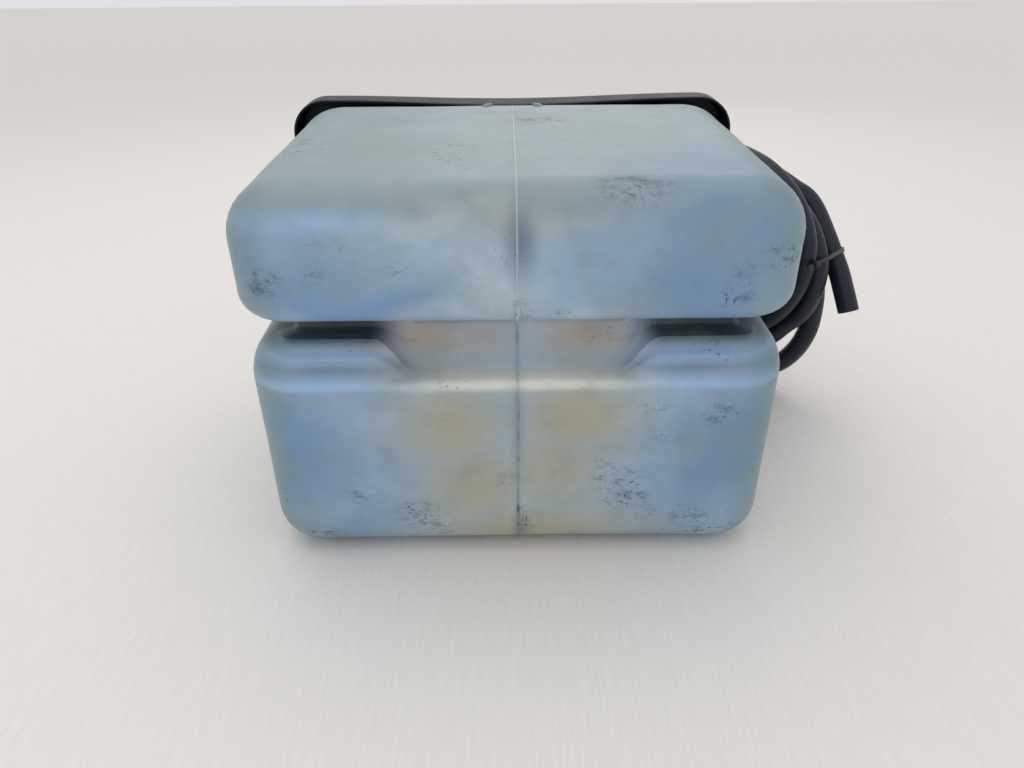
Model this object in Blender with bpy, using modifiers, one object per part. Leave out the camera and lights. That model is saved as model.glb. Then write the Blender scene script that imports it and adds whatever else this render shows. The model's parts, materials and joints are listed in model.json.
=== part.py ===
"""Expansion vessel: a waisted blow-moulded tank with a tray cover, filler cap, level sender and hose.

The vessel is modelled lying on its service bottom edge: X across, D (depth, towards the cover and
the cap, which is up in service) and H (height while it lies). Turned pieces are built along Z and
laid along D. Everything hangs on one empty, rest_frame, which leans the vessel back until the tank
and the cover's lower edge both stand on the floor.
"""
import math

import bmesh
import bpy
from mathutils import Matrix, Vector
from mathutils.geometry import interpolate_bezier

# ---------------------------------------------------------------- driving sizes (metres)
GAP = 0.0004                # air kept between pieces that touch
SLIP = 0.0006               # running clearance between pieces that move past each other
MERGE = 0.00001

# tank
TANK_WIDTH = 0.315
TANK_HEIGHT = 0.239
TANK_DEPTH = 0.228
TANK_WALL = 0.003
TOP_EDGE_RADIUS = 0.030
BOTTOM_EDGE_RADIUS = 0.028
CORNER_RADIUS = 0.030
CORNER_STEPS = 4

# waist groove: a lit web in the middle of the front, deeper pockets beside it and round the sides
WAIST_HEIGHT = 0.1608       # underside of the upper lobe
WAIST_LIP_RADIUS = 0.015
WEB_LEDGE_DROP = 0.0343     # the waist's opening over the web
WEB_LEDGE_RADIUS = 0.007
WEB_DEPTH = 0.020
WEB_FILLET = 0.006
WEB_HALF_WIDTH = 0.060
POCKET_LEDGE_DROP = 0.0123  # the waist's opening in the pockets and round the sides
POCKET_LEDGE_RADIUS = 0.024
POCKET_DEPTH = 0.0285
POCKET_FILLET = 0.003
POCKET_BLEND = 0.024        # width of the slope from web to pocket
REAR_GROOVE_SHARE = 0.35    # the groove is shallower behind, under the cover

# tray cover
COVER_MARGIN = 0.009        # rim beyond the tank at each side
COVER_RISE = 0.003          # rim above the tank's top
COVER_DROP = 0.0145         # rim below the tank's bottom
COVER_DEPTH = 0.024
COVER_WALL = 0.002
COVER_CORNER_RADIUS = 0.025
COVER_EDGE_RADIUS = 0.005
LIP_BOW = 0.0042            # sag of the long top side at the lip, worn in by use
BACK_BOW = 0.0030
COVER_LIP_GAP = 0.0005      # lip behind the tank's rear plane

# cover screws and the bosses they bite in
BOSS_RADIUS = 0.0070
SCREW_RADIUS = 0.0020
SCREW_LENGTH = 0.016
SCREW_HEAD_RADIUS = 0.0042
SCREW_HEAD_HEIGHT = 0.0030
SCREW_SOCKET_WIDTH = 0.0034
SCREW_SOCKET_DEPTH = 0.0018
WASHER_RADIUS = 0.0060
WASHER_THICKNESS = 0.0010
PILOT_EXTRA_DEPTH = 0.002
SCREW_SPREAD_X = 0.125
SCREW_EDGE_H = 0.043           # the screw rows in from the tank's bottom and top

# filler neck, cap and pressure valve
NECK_X = 0.0
NECK_H = 0.085
NECK_RADIUS = 0.0235
NECK_BORE_RADIUS = 0.0195
NECK_RISE = 0.0145          # above the cover's back
CAP_WALL = 0.0040
CAP_SKIRT = 0.0125
CAP_CEILING = 0.0032
CAP_TOP = 0.0062            # plate above the ceiling
CAP_GRIP_DEPTH = 0.0016
CAP_GRIP_COUNT = 12
CAP_EDGE_RADIUS = 0.0025
SEAL_WIDTH = 0.0038
INSERT_RADIUS = 0.0152
INSERT_WALL = 0.0020
INSERT_DEPTH = 0.0220
SEAT_RADIUS = 0.0075
SEAT_THICKNESS = 0.0030
DISC_RADIUS = 0.0112
DISC_THICKNESS = 0.0020
DISC_HUB_RADIUS = 0.0045
DISC_HUB_HEIGHT = 0.0030
VACUUM_STEM_RADIUS = 0.0014
VACUUM_HEAD_RADIUS = 0.0052
VACUUM_HEAD_THICKNESS = 0.0011
VACUUM_COLLAR_RADIUS = 0.0026
VACUUM_COLLAR_THICKNESS = 0.0010
VACUUM_TRAVEL = 0.0020
SPRING_WIRE_RADIUS = 0.0006
SPRING_RADIUS = 0.0085
SPRING_TURNS = 5
SPRING_POINTS_PER_TURN = 10

# level sender
SENDER_X = -0.090
SENDER_H = 0.085
SENDER_STUB_RADIUS = 0.0240
SENDER_BORE_RADIUS = 0.0165
STUB_RISE = 0.0065          # sender and outlet stubs above the cover's back
GASKET_THICKNESS = 0.0015
SENDER_FLANGE_THICKNESS = 0.0045
SENDER_PLUG_DEPTH = 0.012
SENDER_STEM_RADIUS = 0.0030
SENDER_STEM_LENGTH = 0.175
SOCKET_RADIUS = 0.0100
SOCKET_HEIGHT = 0.0130
SOCKET_WALL = 0.0016
TERMINAL_WIDTH = 0.0016
TERMINAL_LENGTH = 0.0080
TERMINAL_SPREAD = 0.0040
FLOAT_RADIUS = 0.0135
FLOAT_HEIGHT = 0.0260
STOP_RADIUS = 0.0060
STOP_THICKNESS = 0.0020
SENDER_SCREW_CIRCLE = 0.0203
SENDER_SCREW_RADIUS = 0.0012
SENDER_SCREW_LENGTH = 0.012
SENDER_SCREW_HEAD_RADIUS = 0.0024
SENDER_SCREW_HEAD_HEIGHT = 0.0016

# outlet, dip tube and strainer
OUTLET_X = 0.030
OUTLET_H = 0.195
OUTLET_STUB_RADIUS = 0.0125
OUTLET_BORE_RADIUS = 0.0068
OUTLET_SPIGOT_RADIUS = 0.0062
OUTLET_SPIGOT_DEPTH = 0.010
OUTLET_FLANGE_RADIUS = 0.0115
OUTLET_FLANGE_THICKNESS = 0.0055
OUTLET_SEAL_THICKNESS = 0.0012
BARB_TUBE_RADIUS = 0.0048
BARB_HEIGHT = 0.0005
BARB_PITCH = 0.0070
BARB_COUNT = 3
BARB_BORE_RADIUS = 0.0034
DIP_TUBE_RADIUS = 0.0052
DIP_TUBE_BORE_RADIUS = 0.0036
DIP_TUBE_FLOOR_GAP = 0.012
STRAINER_WALL = 0.0012
STRAINER_HEIGHT = 0.016
STRAINER_SLOT_WIDTH = 0.0012
STRAINER_SLOT_HEIGHT = 0.0060

# hose, its clamp, coil and tie
HOSE_RADIUS = 0.0080
HOSE_BORE_RADIUS = 0.0058
CUFF_LENGTH = 0.026
CLAMP_WIDTH = 0.0090
CLAMP_BAND = 0.0008
CLAMP_HOUSING = (0.0115, 0.0070, 0.0072)
CLAMP_SCREW_RADIUS = 0.0021
CLAMP_SCREW_HEAD_RADIUS = 0.0030
CLAMP_SCREW_HEAD_HEIGHT = 0.0030
CLAMP_SLOT_WIDTH = 0.0010
COIL_RADIUS = 0.0855
COIL_HALF_SPREAD = 0.0210   # half of the coil's section across its turns
COIL_HALF_THICKNESS = 0.0165
COIL_CENTRE = (0.1891, 0.1216)
COIL_YAW = math.radians(-59.0)
COIL_LEAN = math.radians(6.5)
TIE_ANGLE = math.radians(20.0)
TIE_WIDTH = 0.0036
TIE_BAND = 0.0013
TIE_GAP = 0.0008            # the coil's solid bends away under a flat band
TIE_HEAD = (0.0060, 0.0060, 0.0045)

# points of the hose's run from the outlet to the coil, and of its free end
RUN_POINTS = (
    (0.0300, 0.1466, 0.2136), (0.0300, 0.1726, 0.2155), (0.0378, 0.2016, 0.2172),
    (0.0590, 0.2228, 0.2180), (0.0880, 0.2306, 0.2180), (0.1170, 0.2228, 0.2165),
    (0.1377, 0.2025, 0.2125), (0.1555, 0.1715, 0.2050),
)
TAIL_POINTS = ((0.2486, 0.0675, 0.1285), (0.2578, 0.0570, 0.1060), (0.2653, 0.0488, 0.0866))
HOSE_POINT_STEP = 2.2       # hose diameters between the tube's points

TURN_STEPS = 28
SMALL_STEPS = 12


# ---------------------------------------------------------------- scene, materials, collections
def clear_scene():
    for item in list(bpy.data.objects):
        bpy.data.objects.remove(item, do_unlink=True)


def make_collection(name):
    group = bpy.data.collections.get(name) or bpy.data.collections.new(name)
    if name not in bpy.context.scene.collection.children:
        bpy.context.scene.collection.children.link(group)
    return group


def make_material(name, colour, roughness, metallic=0.0):
    material = bpy.data.materials.new(name)
    material.use_nodes = True
    shader = material.node_tree.nodes["Principled BSDF"]
    shader.inputs["Base Color"].default_value = (*colour, 1.0)
    shader.inputs["Roughness"].default_value = roughness
    shader.inputs["Metallic"].default_value = metallic
    return material


clear_scene()
parts = make_collection("expansion_vessel")
cutters = make_collection("cutters")

tank_plastic = make_material("tank_plastic", (0.52, 0.58, 0.57), 0.42)
cover_plastic = make_material("cover_plastic", (0.012, 0.014, 0.018), 0.55)
cap_plastic = make_material("cap_plastic", (0.015, 0.015, 0.017), 0.45)
valve_brass = make_material("valve_brass", (0.62, 0.47, 0.22), 0.35, 1.0)
spring_steel = make_material("spring_steel", (0.60, 0.60, 0.61), 0.30, 1.0)
zinc_steel = make_material("zinc_steel", (0.66, 0.67, 0.68), 0.38, 1.0)
seal_rubber = make_material("seal_rubber", (0.02, 0.02, 0.02), 0.75)
hose_rubber = make_material("hose_rubber", (0.018, 0.022, 0.032), 0.45)
float_foam = make_material("float_foam", (0.72, 0.70, 0.62), 0.7)
tie_plastic = make_material("tie_plastic", (0.02, 0.02, 0.022), 0.5)

rest_frame = bpy.data.objects.new("rest_frame", None)
parts.objects.link(rest_frame)


# ---------------------------------------------------------------- making and placing pieces
def add_object(name, data, material, group=parts, parent=rest_frame):
    item = bpy.data.objects.new(name, data)
    group.objects.link(item)
    if material is not None:
        data.materials.append(material)
    item.parent = parent
    return item


def mesh_object(name, bm, material, group=parts, parent=rest_frame, smooth_angle=35.0):
    mesh = bpy.data.meshes.new(name)
    bmesh.ops.recalc_face_normals(bm, faces=bm.faces)
    bm.to_mesh(mesh)
    bm.free()
    mesh.shade_smooth()
    mesh.set_sharp_from_angle(angle=math.radians(smooth_angle))
    return add_object(name, mesh, material, group, parent)


def lay_along_depth(item, x, depth, height):
    """Turn a piece built along Z so that it points along the depth, and put its origin in place."""
    item.rotation_euler = (-math.pi / 2.0, 0.0, 0.0)
    item.location = (x, depth, height)
    return item


def turned(name, profile, material, steps=TURN_STEPS, closed=False, group=parts, parent=rest_frame):
    """A turned piece about Z: (radius, z) points, top to bottom down the outer side."""
    bm = bmesh.new()
    points = [bm.verts.new((radius, 0.0, z)) for radius, z in profile]
    pairs = list(zip(points, points[1:]))
    if closed:
        pairs.append((points[-1], points[0]))
    for first, second in pairs:
        bm.edges.new((first, second))
    mesh = bpy.data.meshes.new(name)
    bm.to_mesh(mesh)
    bm.free()
    item = add_object(name, mesh, material, group, parent)
    screw = item.modifiers.new("turn", "SCREW")
    screw.angle = math.tau
    screw.steps = steps
    screw.render_steps = steps
    screw.use_merge_vertices = True
    screw.merge_threshold = MERGE
    screw.use_smooth_shade = True
    return item


def rod(name, radius, low, high, material=None, steps=TURN_STEPS, group=parts, parent=rest_frame):
    profile = [(0.0, high), (radius, high), (radius, low), (0.0, low)]
    return turned(name, profile, material, steps, group=group, parent=parent)


def ring_profile(inner, outer, low, high):
    return [(outer, high), (outer, low), (inner, low), (inner, high)]


def block(name, size, material=None, group=parts, parent=rest_frame):
    bm = bmesh.new()
    bmesh.ops.create_cube(bm, size=1.0, matrix=Matrix.Diagonal((*size, 1.0)))
    return mesh_object(name, bm, material, group, parent)


def hide_cutter(item):
    item.hide_render = True
    item.display_type = "WIRE"
    return item


def boolean(item, other, operation):
    change = item.modifiers.new(operation.lower(), "BOOLEAN")
    change.operation = operation
    change.solver = "EXACT"
    change.object = other


def cut(item, cutter):
    boolean(item, hide_cutter(cutter), "DIFFERENCE")


def join(item, other):
    boolean(item, hide_cutter(other), "UNION")


def loft(rings, cap_start=True, cap_end=True):
    """A skin through rings with the same number of points, with flat ends."""
    bm = bmesh.new()
    rows = [[bm.verts.new(point) for point in ring] for ring in rings]
    count = len(rows[0])
    for lower, upper in zip(rows, rows[1:]):
        for index in range(count):
            following = (index + 1) % count
            bm.faces.new((lower[index], lower[following], upper[following], upper[index]))
    if cap_start:
        bm.faces.new(list(reversed(rows[0])))
    if cap_end:
        bm.faces.new(rows[-1])
    return bm


def arc_points(centre, radius, start, end, steps):
    """Points of an arc, angles in degrees."""
    points = []
    for index in range(steps + 1):
        angle = math.radians(start + (end - start) * index / steps)
        points.append((centre[0] + radius * math.cos(angle), centre[1] + radius * math.sin(angle)))
    return points


# ---------------------------------------------------------------- tank
def groove_profile(drop, ledge_radius, depth, fillet):
    """The waist as (inset, height) points, from the lower lobe's face to the upper lobe's face."""
    ledge = WAIST_HEIGHT - drop
    lip = WAIST_LIP_RADIUS
    return (
        arc_points((ledge_radius, ledge - ledge_radius), ledge_radius, 180, 90, 4)
        + arc_points((depth - fillet, ledge + fillet), fillet, -90, 0, 2)
        + arc_points((depth - fillet, WAIST_HEIGHT - fillet), fillet, 0, 90, 2)
        + arc_points((lip, WAIST_HEIGHT + lip), lip, -90, -180, 4)
    )


def blend_weight(x):
    """0 over the web in the middle, 1 in the pockets."""
    share = (abs(x) - WEB_HALF_WIDTH) / POCKET_BLEND
    share = min(max(share, 0.0), 1.0)
    return share * share * (3.0 - 2.0 * share)


def front_columns():
    """X of the points along the front between its corners."""
    edge = WEB_HALF_WIDTH + POCKET_BLEND
    half = [WEB_HALF_WIDTH * 0.5, WEB_HALF_WIDTH, WEB_HALF_WIDTH + POCKET_BLEND * 0.5, edge]
    return [-x for x in reversed(half)] + [0.0] + half


def tank_ring(web_point, pocket_point, rear_share=1.0):
    """One ring of the tank: (inset, height) over the web and in the pockets."""
    ring = []
    inset, height = pocket_point
    radius = max(CORNER_RADIUS - inset, 0.006)
    half = TANK_WIDTH / 2.0 - inset
    rear = TANK_DEPTH - inset * rear_share
    corners = (
        (half - radius, inset + radius, -90),
        (half - radius, rear - radius, 0),
        (radius - half, rear - radius, 90),
        (radius - half, inset + radius, 180),
    )
    for x in front_columns():
        weight = blend_weight(x)
        depth = web_point[0] + (inset - web_point[0]) * weight
        level = web_point[1] + (height - web_point[1]) * weight
        ring.append((x, depth, level))
    for x, depth, start in corners:
        for px, py in arc_points((x, depth), radius, start, start + 90, CORNER_STEPS):
            ring.append((px, py, height))
    return ring


def bottom_edge_points():
    radius = BOTTOM_EDGE_RADIUS
    return arc_points((radius, radius), radius, -90, -180, 6)


def make_tank():
    low = bottom_edge_points()
    web = groove_profile(WEB_LEDGE_DROP, WEB_LEDGE_RADIUS, WEB_DEPTH, WEB_FILLET)
    pocket = groove_profile(POCKET_LEDGE_DROP, POCKET_LEDGE_RADIUS, POCKET_DEPTH, POCKET_FILLET)
    top = TOP_EDGE_RADIUS
    high = arc_points((top, TANK_HEIGHT - top), top, 180, 90, 5)
    rings = [tank_ring(point, point) for point in low]
    rings += [tank_ring(first, second, REAR_GROOVE_SHARE) for first, second in zip(web, pocket)]
    rings += [tank_ring(point, point) for point in high]
    tank = mesh_object("tank_shell", loft(rings), tank_plastic)
    wall = tank.modifiers.new("wall", "SOLIDIFY")
    wall.thickness = TANK_WALL
    wall.offset = -1.0
    return tank


COVER_BACK = TANK_DEPTH + COVER_LIP_GAP + COVER_DEPTH
NECK_TOP = COVER_BACK + NECK_RISE
STUB_TOP = COVER_BACK + STUB_RISE
BOSS_TOP = COVER_BACK - COVER_WALL - GAP
REAR_SINK = TANK_WALL * 0.5     # how far bosses and stubs are sunk in the tank's rear wall
HOLE_CLEARANCE = 0.0015         # cover holes round the neck and the stubs


def screw_places():
    middle = TANK_HEIGHT / 2.0
    columns = (-SCREW_SPREAD_X, 0.0, SCREW_SPREAD_X)
    return [(x, middle + side * (middle - SCREW_EDGE_H)) for side in (-1, 1) for x in columns]


def posts(name, places, steps=TURN_STEPS):
    """Round posts along the depth as one cutter: (radius, x, height, low depth, high depth)."""
    bm = bmesh.new()
    turn = Matrix.Rotation(-math.pi / 2.0, 4, "X")
    for radius, x, height, low, high in places:
        middle = Matrix.Translation((x, (low + high) / 2.0, height))
        bmesh.ops.create_cone(bm, cap_ends=True, segments=steps, radius1=radius, radius2=radius,
                              depth=high - low, matrix=middle @ turn)
    return mesh_object(name, bm, None, cutters)


def add_tank_fittings(tank):
    root = TANK_DEPTH - REAR_SINK
    inside = TANK_DEPTH - TANK_WALL * 2.0
    above = 0.001
    stubs = (
        (NECK_X, NECK_H, NECK_RADIUS, NECK_BORE_RADIUS, NECK_TOP),
        (SENDER_X, SENDER_H, SENDER_STUB_RADIUS, SENDER_BORE_RADIUS, STUB_TOP),
        (OUTLET_X, OUTLET_H, OUTLET_STUB_RADIUS, OUTLET_BORE_RADIUS, STUB_TOP),
    )
    solid = [(radius, x, height, root, top) for x, height, radius, bore, top in stubs]
    solid += [(BOSS_RADIUS, x, height, root, BOSS_TOP) for x, height in screw_places()]
    hollow = [(bore, x, height, inside, top + above) for x, height, radius, bore, top in stubs]
    pilot = BOSS_TOP + COVER_WALL - SCREW_LENGTH - PILOT_EXTRA_DEPTH
    hollow += [(SCREW_RADIUS + GAP, x, height, pilot, BOSS_TOP + above) for x, height in screw_places()]
    pilot = STUB_TOP - SENDER_SCREW_LENGTH - PILOT_EXTRA_DEPTH
    hollow += [(SENDER_SCREW_RADIUS + GAP, x, height, pilot, STUB_TOP + above)
               for x, height in sender_screw_places()]
    join(tank, posts("tank_posts", solid))
    cut(tank, posts("tank_bores", hollow))


# ---------------------------------------------------------------- tray cover
def cover_ring(inset, depth, bow):
    half = TANK_WIDTH / 2.0 + COVER_MARGIN - inset
    low = -COVER_DROP + inset
    high = TANK_HEIGHT + COVER_RISE - inset
    radius = COVER_CORNER_RADIUS - inset
    corners = (
        (radius - half, high - radius, 180),
        (half - radius, high - radius, 90),
        (half - radius, low + radius, 0),
        (radius - half, low + radius, -90),
    )
    ring = []
    span = half - radius
    for corner, (x, height, start) in enumerate(corners):
        for px, pz in arc_points((x, height), radius, start, start - 90, 5):
            ring.append((px, depth, pz))
        if corner == 0:
            for index in range(1, 8):
                px = -span + 2.0 * span * index / 8.0
                sag = bow * (0.5 + 0.5 * math.cos(math.pi * px / span))
                ring.append((px, depth, high - sag))
    return ring


def cover_edge_points():
    """(inset, depth) of the rounded edge between the cover's sides and its back."""
    radius = COVER_EDGE_RADIUS
    return arc_points((radius, COVER_BACK - radius), radius, 180, 90, 3)


def make_cover():
    lip = TANK_DEPTH + COVER_LIP_GAP
    rings = [cover_ring(0.0, lip, LIP_BOW)]
    rings += [cover_ring(inset, depth, BACK_BOW) for inset, depth in cover_edge_points()]
    cover = mesh_object("rear_cover", loft(rings, cap_start=False), cover_plastic)
    wall = cover.modifiers.new("wall", "SOLIDIFY")
    wall.thickness = COVER_WALL
    wall.offset = -1.0
    wall.use_even_offset = True
    below = COVER_BACK - COVER_WALL * 2.0
    above = COVER_BACK + COVER_WALL
    holes = [
        (NECK_RADIUS + HOLE_CLEARANCE, NECK_X, NECK_H, below, above),
        (SENDER_STUB_RADIUS + HOLE_CLEARANCE, SENDER_X, SENDER_H, below, above),
        (OUTLET_STUB_RADIUS + HOLE_CLEARANCE, OUTLET_X, OUTLET_H, below, above),
    ]
    holes += [(SCREW_RADIUS + GAP, x, height, below, above) for x, height in screw_places()]
    cut(cover, posts("cover_holes", holes))


def screw_profile(radius, length, head_radius, head_height):
    point = radius * 0.9
    crown = head_height * 0.35
    return [
        (0.0, head_height), (head_radius * 0.7, head_height), (head_radius, head_height - crown),
        (head_radius, 0.0), (radius, 0.0), (radius, point - length), (radius * 0.3, -length),
        (0.0, -length),
    ]


def make_screw(name, radius, length, head_radius, head_height, socket_width, socket_depth):
    profile = screw_profile(radius, length, head_radius, head_height)
    screw = turned(name, profile, zinc_steel, SMALL_STEPS)
    socket = rod(f"{name}_socket", socket_width / 2.0, head_height - socket_depth,
                 head_height + 0.001, steps=6, group=cutters, parent=screw)
    cut(screw, socket)
    return screw


def make_cover_screws():
    for index, (x, height) in enumerate(screw_places(), 1):
        seat = COVER_BACK + GAP
        washer = turned(f"cover_washer_{index}",
                        ring_profile(SCREW_RADIUS + GAP, WASHER_RADIUS, 0.0, WASHER_THICKNESS),
                        zinc_steel, SMALL_STEPS, closed=True)
        lay_along_depth(washer, x, seat, height)
        screw = make_screw(f"cover_screw_{index}", SCREW_RADIUS, SCREW_LENGTH, SCREW_HEAD_RADIUS,
                           SCREW_HEAD_HEIGHT, SCREW_SOCKET_WIDTH, SCREW_SOCKET_DEPTH)
        lay_along_depth(screw, x, seat + WASHER_THICKNESS + GAP, height)


# ---------------------------------------------------------------- filler cap and its valve
def cap_ring(radius, z, grip):
    count = CAP_GRIP_COUNT * 6
    ring = []
    for index in range(count):
        angle = math.tau * index / count
        scallop = max(0.0, math.cos(CAP_GRIP_COUNT * angle)) * grip
        reach = radius - scallop
        ring.append((reach * math.cos(angle), reach * math.sin(angle), z))
    return ring


def make_cap():
    inner = NECK_RADIUS + SLIP
    outer = inner + CAP_WALL + CAP_GRIP_DEPTH
    edge = CAP_EDGE_RADIUS
    top = CAP_CEILING + CAP_TOP
    rings = [cap_ring(inner * 0.5, CAP_CEILING, 0.0), cap_ring(inner, CAP_CEILING, 0.0)]
    rings += [cap_ring(inner, -CAP_SKIRT, 0.0), cap_ring(outer, -CAP_SKIRT, CAP_GRIP_DEPTH)]
    for inset, z in arc_points((edge, top - edge), edge, 180, 90, 3):
        rings.append(cap_ring(outer - inset, z, CAP_GRIP_DEPTH * (1.0 - inset / edge)))
    rings.append(cap_ring(outer * 0.5, top, 0.0))
    cap = mesh_object("filler_cap", loft(rings), cap_plastic)
    lay_along_depth(cap, NECK_X, NECK_TOP, NECK_H)


INSERT_TOP = CAP_CEILING - GAP
SEAT_TOP = SEAT_THICKNESS - INSERT_DEPTH
DISC_LOW = SEAT_TOP + GAP
DISC_HIGH = DISC_LOW + DISC_THICKNESS
SPRING_LOW = DISC_HIGH + SPRING_WIRE_RADIUS + GAP
SPRING_HIGH = INSERT_TOP - INSERT_WALL - SPRING_WIRE_RADIUS - GAP


def make_pressure_valve():
    flange = NECK_RADIUS - SEAL_WIDTH - GAP
    inner = INSERT_RADIUS - INSERT_WALL
    insert_profile = [
        (0.0, INSERT_TOP), (flange, INSERT_TOP), (flange, GAP), (INSERT_RADIUS, GAP),
        (INSERT_RADIUS, -INSERT_DEPTH), (SEAT_RADIUS, -INSERT_DEPTH), (SEAT_RADIUS, SEAT_TOP),
        (inner, SEAT_TOP), (inner, INSERT_TOP - INSERT_WALL), (0.0, INSERT_TOP - INSERT_WALL),
    ]
    pieces = [turned("cap_insert", insert_profile, cap_plastic)]
    seal = ring_profile(NECK_RADIUS - SEAL_WIDTH, NECK_RADIUS, GAP, INSERT_TOP)
    pieces.append(turned("cap_seal", seal, seal_rubber, closed=True))

    bore = VACUUM_STEM_RADIUS + SLIP
    hub_top = DISC_HIGH + DISC_HUB_HEIGHT
    disc_profile = [
        (bore, hub_top), (DISC_HUB_RADIUS, hub_top), (DISC_HUB_RADIUS, DISC_HIGH),
        (DISC_RADIUS, DISC_HIGH), (DISC_RADIUS, DISC_LOW), (bore, DISC_LOW),
    ]
    pieces.append(turned("relief_disc", disc_profile, valve_brass, 24, closed=True))

    head_top = DISC_LOW - GAP
    collar_low = hub_top + GAP + VACUUM_TRAVEL
    vacuum_profile = [
        (0.0, collar_low + VACUUM_COLLAR_THICKNESS),
        (VACUUM_COLLAR_RADIUS, collar_low + VACUUM_COLLAR_THICKNESS),
        (VACUUM_COLLAR_RADIUS, collar_low), (VACUUM_STEM_RADIUS, collar_low),
        (VACUUM_STEM_RADIUS, head_top), (VACUUM_HEAD_RADIUS, head_top),
        (VACUUM_HEAD_RADIUS, head_top - VACUUM_HEAD_THICKNESS), (0.0, head_top - VACUUM_HEAD_THICKNESS),
    ]
    pieces.append(turned("vacuum_valve", vacuum_profile, valve_brass, SMALL_STEPS))
    for piece in pieces:
        lay_along_depth(piece, NECK_X, NECK_TOP, NECK_H)


def make_relief_spring():
    curve = bpy.data.curves.new("relief_spring", "CURVE")
    curve.dimensions = "3D"
    curve.bevel_depth = SPRING_WIRE_RADIUS
    curve.bevel_resolution = 1
    curve.use_fill_caps = True
    line = curve.splines.new("POLY")
    count = SPRING_TURNS * SPRING_POINTS_PER_TURN
    line.points.add(count)
    for index in range(count + 1):
        angle = math.tau * index / SPRING_POINTS_PER_TURN
        z = SPRING_LOW + (SPRING_HIGH - SPRING_LOW) * index / count
        line.points[index].co = (SPRING_RADIUS * math.cos(angle), SPRING_RADIUS * math.sin(angle), z, 1.0)
    spring = add_object("relief_spring", curve, spring_steel)
    lay_along_depth(spring, NECK_X, NECK_TOP, NECK_H)


# ---------------------------------------------------------------- level sender
def sender_screw_places():
    places = []
    for index in range(4):
        angle = math.radians(45 + 90 * index)
        places.append((SENDER_X + SENDER_SCREW_CIRCLE * math.cos(angle),
                       SENDER_H + SENDER_SCREW_CIRCLE * math.sin(angle)))
    return places


FLANGE_LOW = GASKET_THICKNESS + 2.0 * GAP
FLANGE_TOP = FLANGE_LOW + SENDER_FLANGE_THICKNESS
STEM_END = -SENDER_PLUG_DEPTH - SENDER_STEM_LENGTH
STOP_TOP = STEM_END + 2.0 * STOP_THICKNESS


def make_sender():
    plug = SENDER_BORE_RADIUS - GAP
    socket_top = FLANGE_TOP + SOCKET_HEIGHT
    cavity = SOCKET_RADIUS - SOCKET_WALL
    stem = SENDER_STEM_RADIUS
    profile = [
        (0.0, FLANGE_TOP), (cavity, FLANGE_TOP), (cavity, socket_top), (SOCKET_RADIUS, socket_top),
        (SOCKET_RADIUS, FLANGE_TOP), (SENDER_STUB_RADIUS, FLANGE_TOP), (SENDER_STUB_RADIUS, FLANGE_LOW),
        (plug, FLANGE_LOW), (plug, -SENDER_PLUG_DEPTH), (stem, -SENDER_PLUG_DEPTH), (stem, STEM_END),
        (0.0, STEM_END),
    ]
    head = turned("sender_head", profile, cap_plastic)
    gasket = turned("sender_gasket", ring_profile(SENDER_BORE_RADIUS, SENDER_STUB_RADIUS,
                                                  GAP, GAP + GASKET_THICKNESS),
                    seal_rubber, closed=True)
    for index, (x, height) in enumerate(sender_screw_places(), 1):
        for piece in (head, gasket):
            hole = rod(f"{piece.name}_hole_{index}", SENDER_SCREW_RADIUS + GAP, -0.001,
                       FLANGE_TOP + 0.001, steps=SMALL_STEPS, group=cutters)
            cut(piece, lay_along_depth(hole, x, STUB_TOP, height))
        screw = make_screw(f"sender_screw_{index}", SENDER_SCREW_RADIUS,
                           SENDER_SCREW_LENGTH + FLANGE_TOP, SENDER_SCREW_HEAD_RADIUS,
                           SENDER_SCREW_HEAD_HEIGHT, SENDER_SCREW_RADIUS * 1.6,
                           SENDER_SCREW_HEAD_HEIGHT * 0.6)
        lay_along_depth(screw, x, STUB_TOP + FLANGE_TOP + GAP, height)
    for piece in (head, gasket):
        lay_along_depth(piece, SENDER_X, STUB_TOP, SENDER_H)

    for index, side in enumerate((-1, 1), 1):
        size = (TERMINAL_WIDTH, TERMINAL_WIDTH, TERMINAL_LENGTH)
        pin = block(f"sender_terminal_{index}", size, zinc_steel)
        middle = STUB_TOP + FLANGE_TOP + GAP + TERMINAL_LENGTH / 2.0
        lay_along_depth(pin, SENDER_X + side * TERMINAL_SPREAD, middle, SENDER_H)

    stop = turned("float_stop", ring_profile(stem + GAP, STOP_RADIUS, STOP_TOP - STOP_THICKNESS, STOP_TOP),
                  zinc_steel, SMALL_STEPS, closed=True)
    float_low = STOP_TOP + GAP
    float_body = turned("level_float", ring_profile(stem + SLIP, FLOAT_RADIUS, float_low,
                                                    float_low + FLOAT_HEIGHT), float_foam, closed=True)
    for piece in (stop, float_body):
        lay_along_depth(piece, SENDER_X, STUB_TOP, SENDER_H)


# ---------------------------------------------------------------- outlet, dip tube, strainer
OUTLET_FLANGE_LOW = OUTLET_SEAL_THICKNESS + 2.0 * GAP
OUTLET_FLANGE_TOP = OUTLET_FLANGE_LOW + OUTLET_FLANGE_THICKNESS
CUFF_LOW = OUTLET_FLANGE_TOP + GAP
CUFF_HIGH = CUFF_LOW + CUFF_LENGTH


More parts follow.
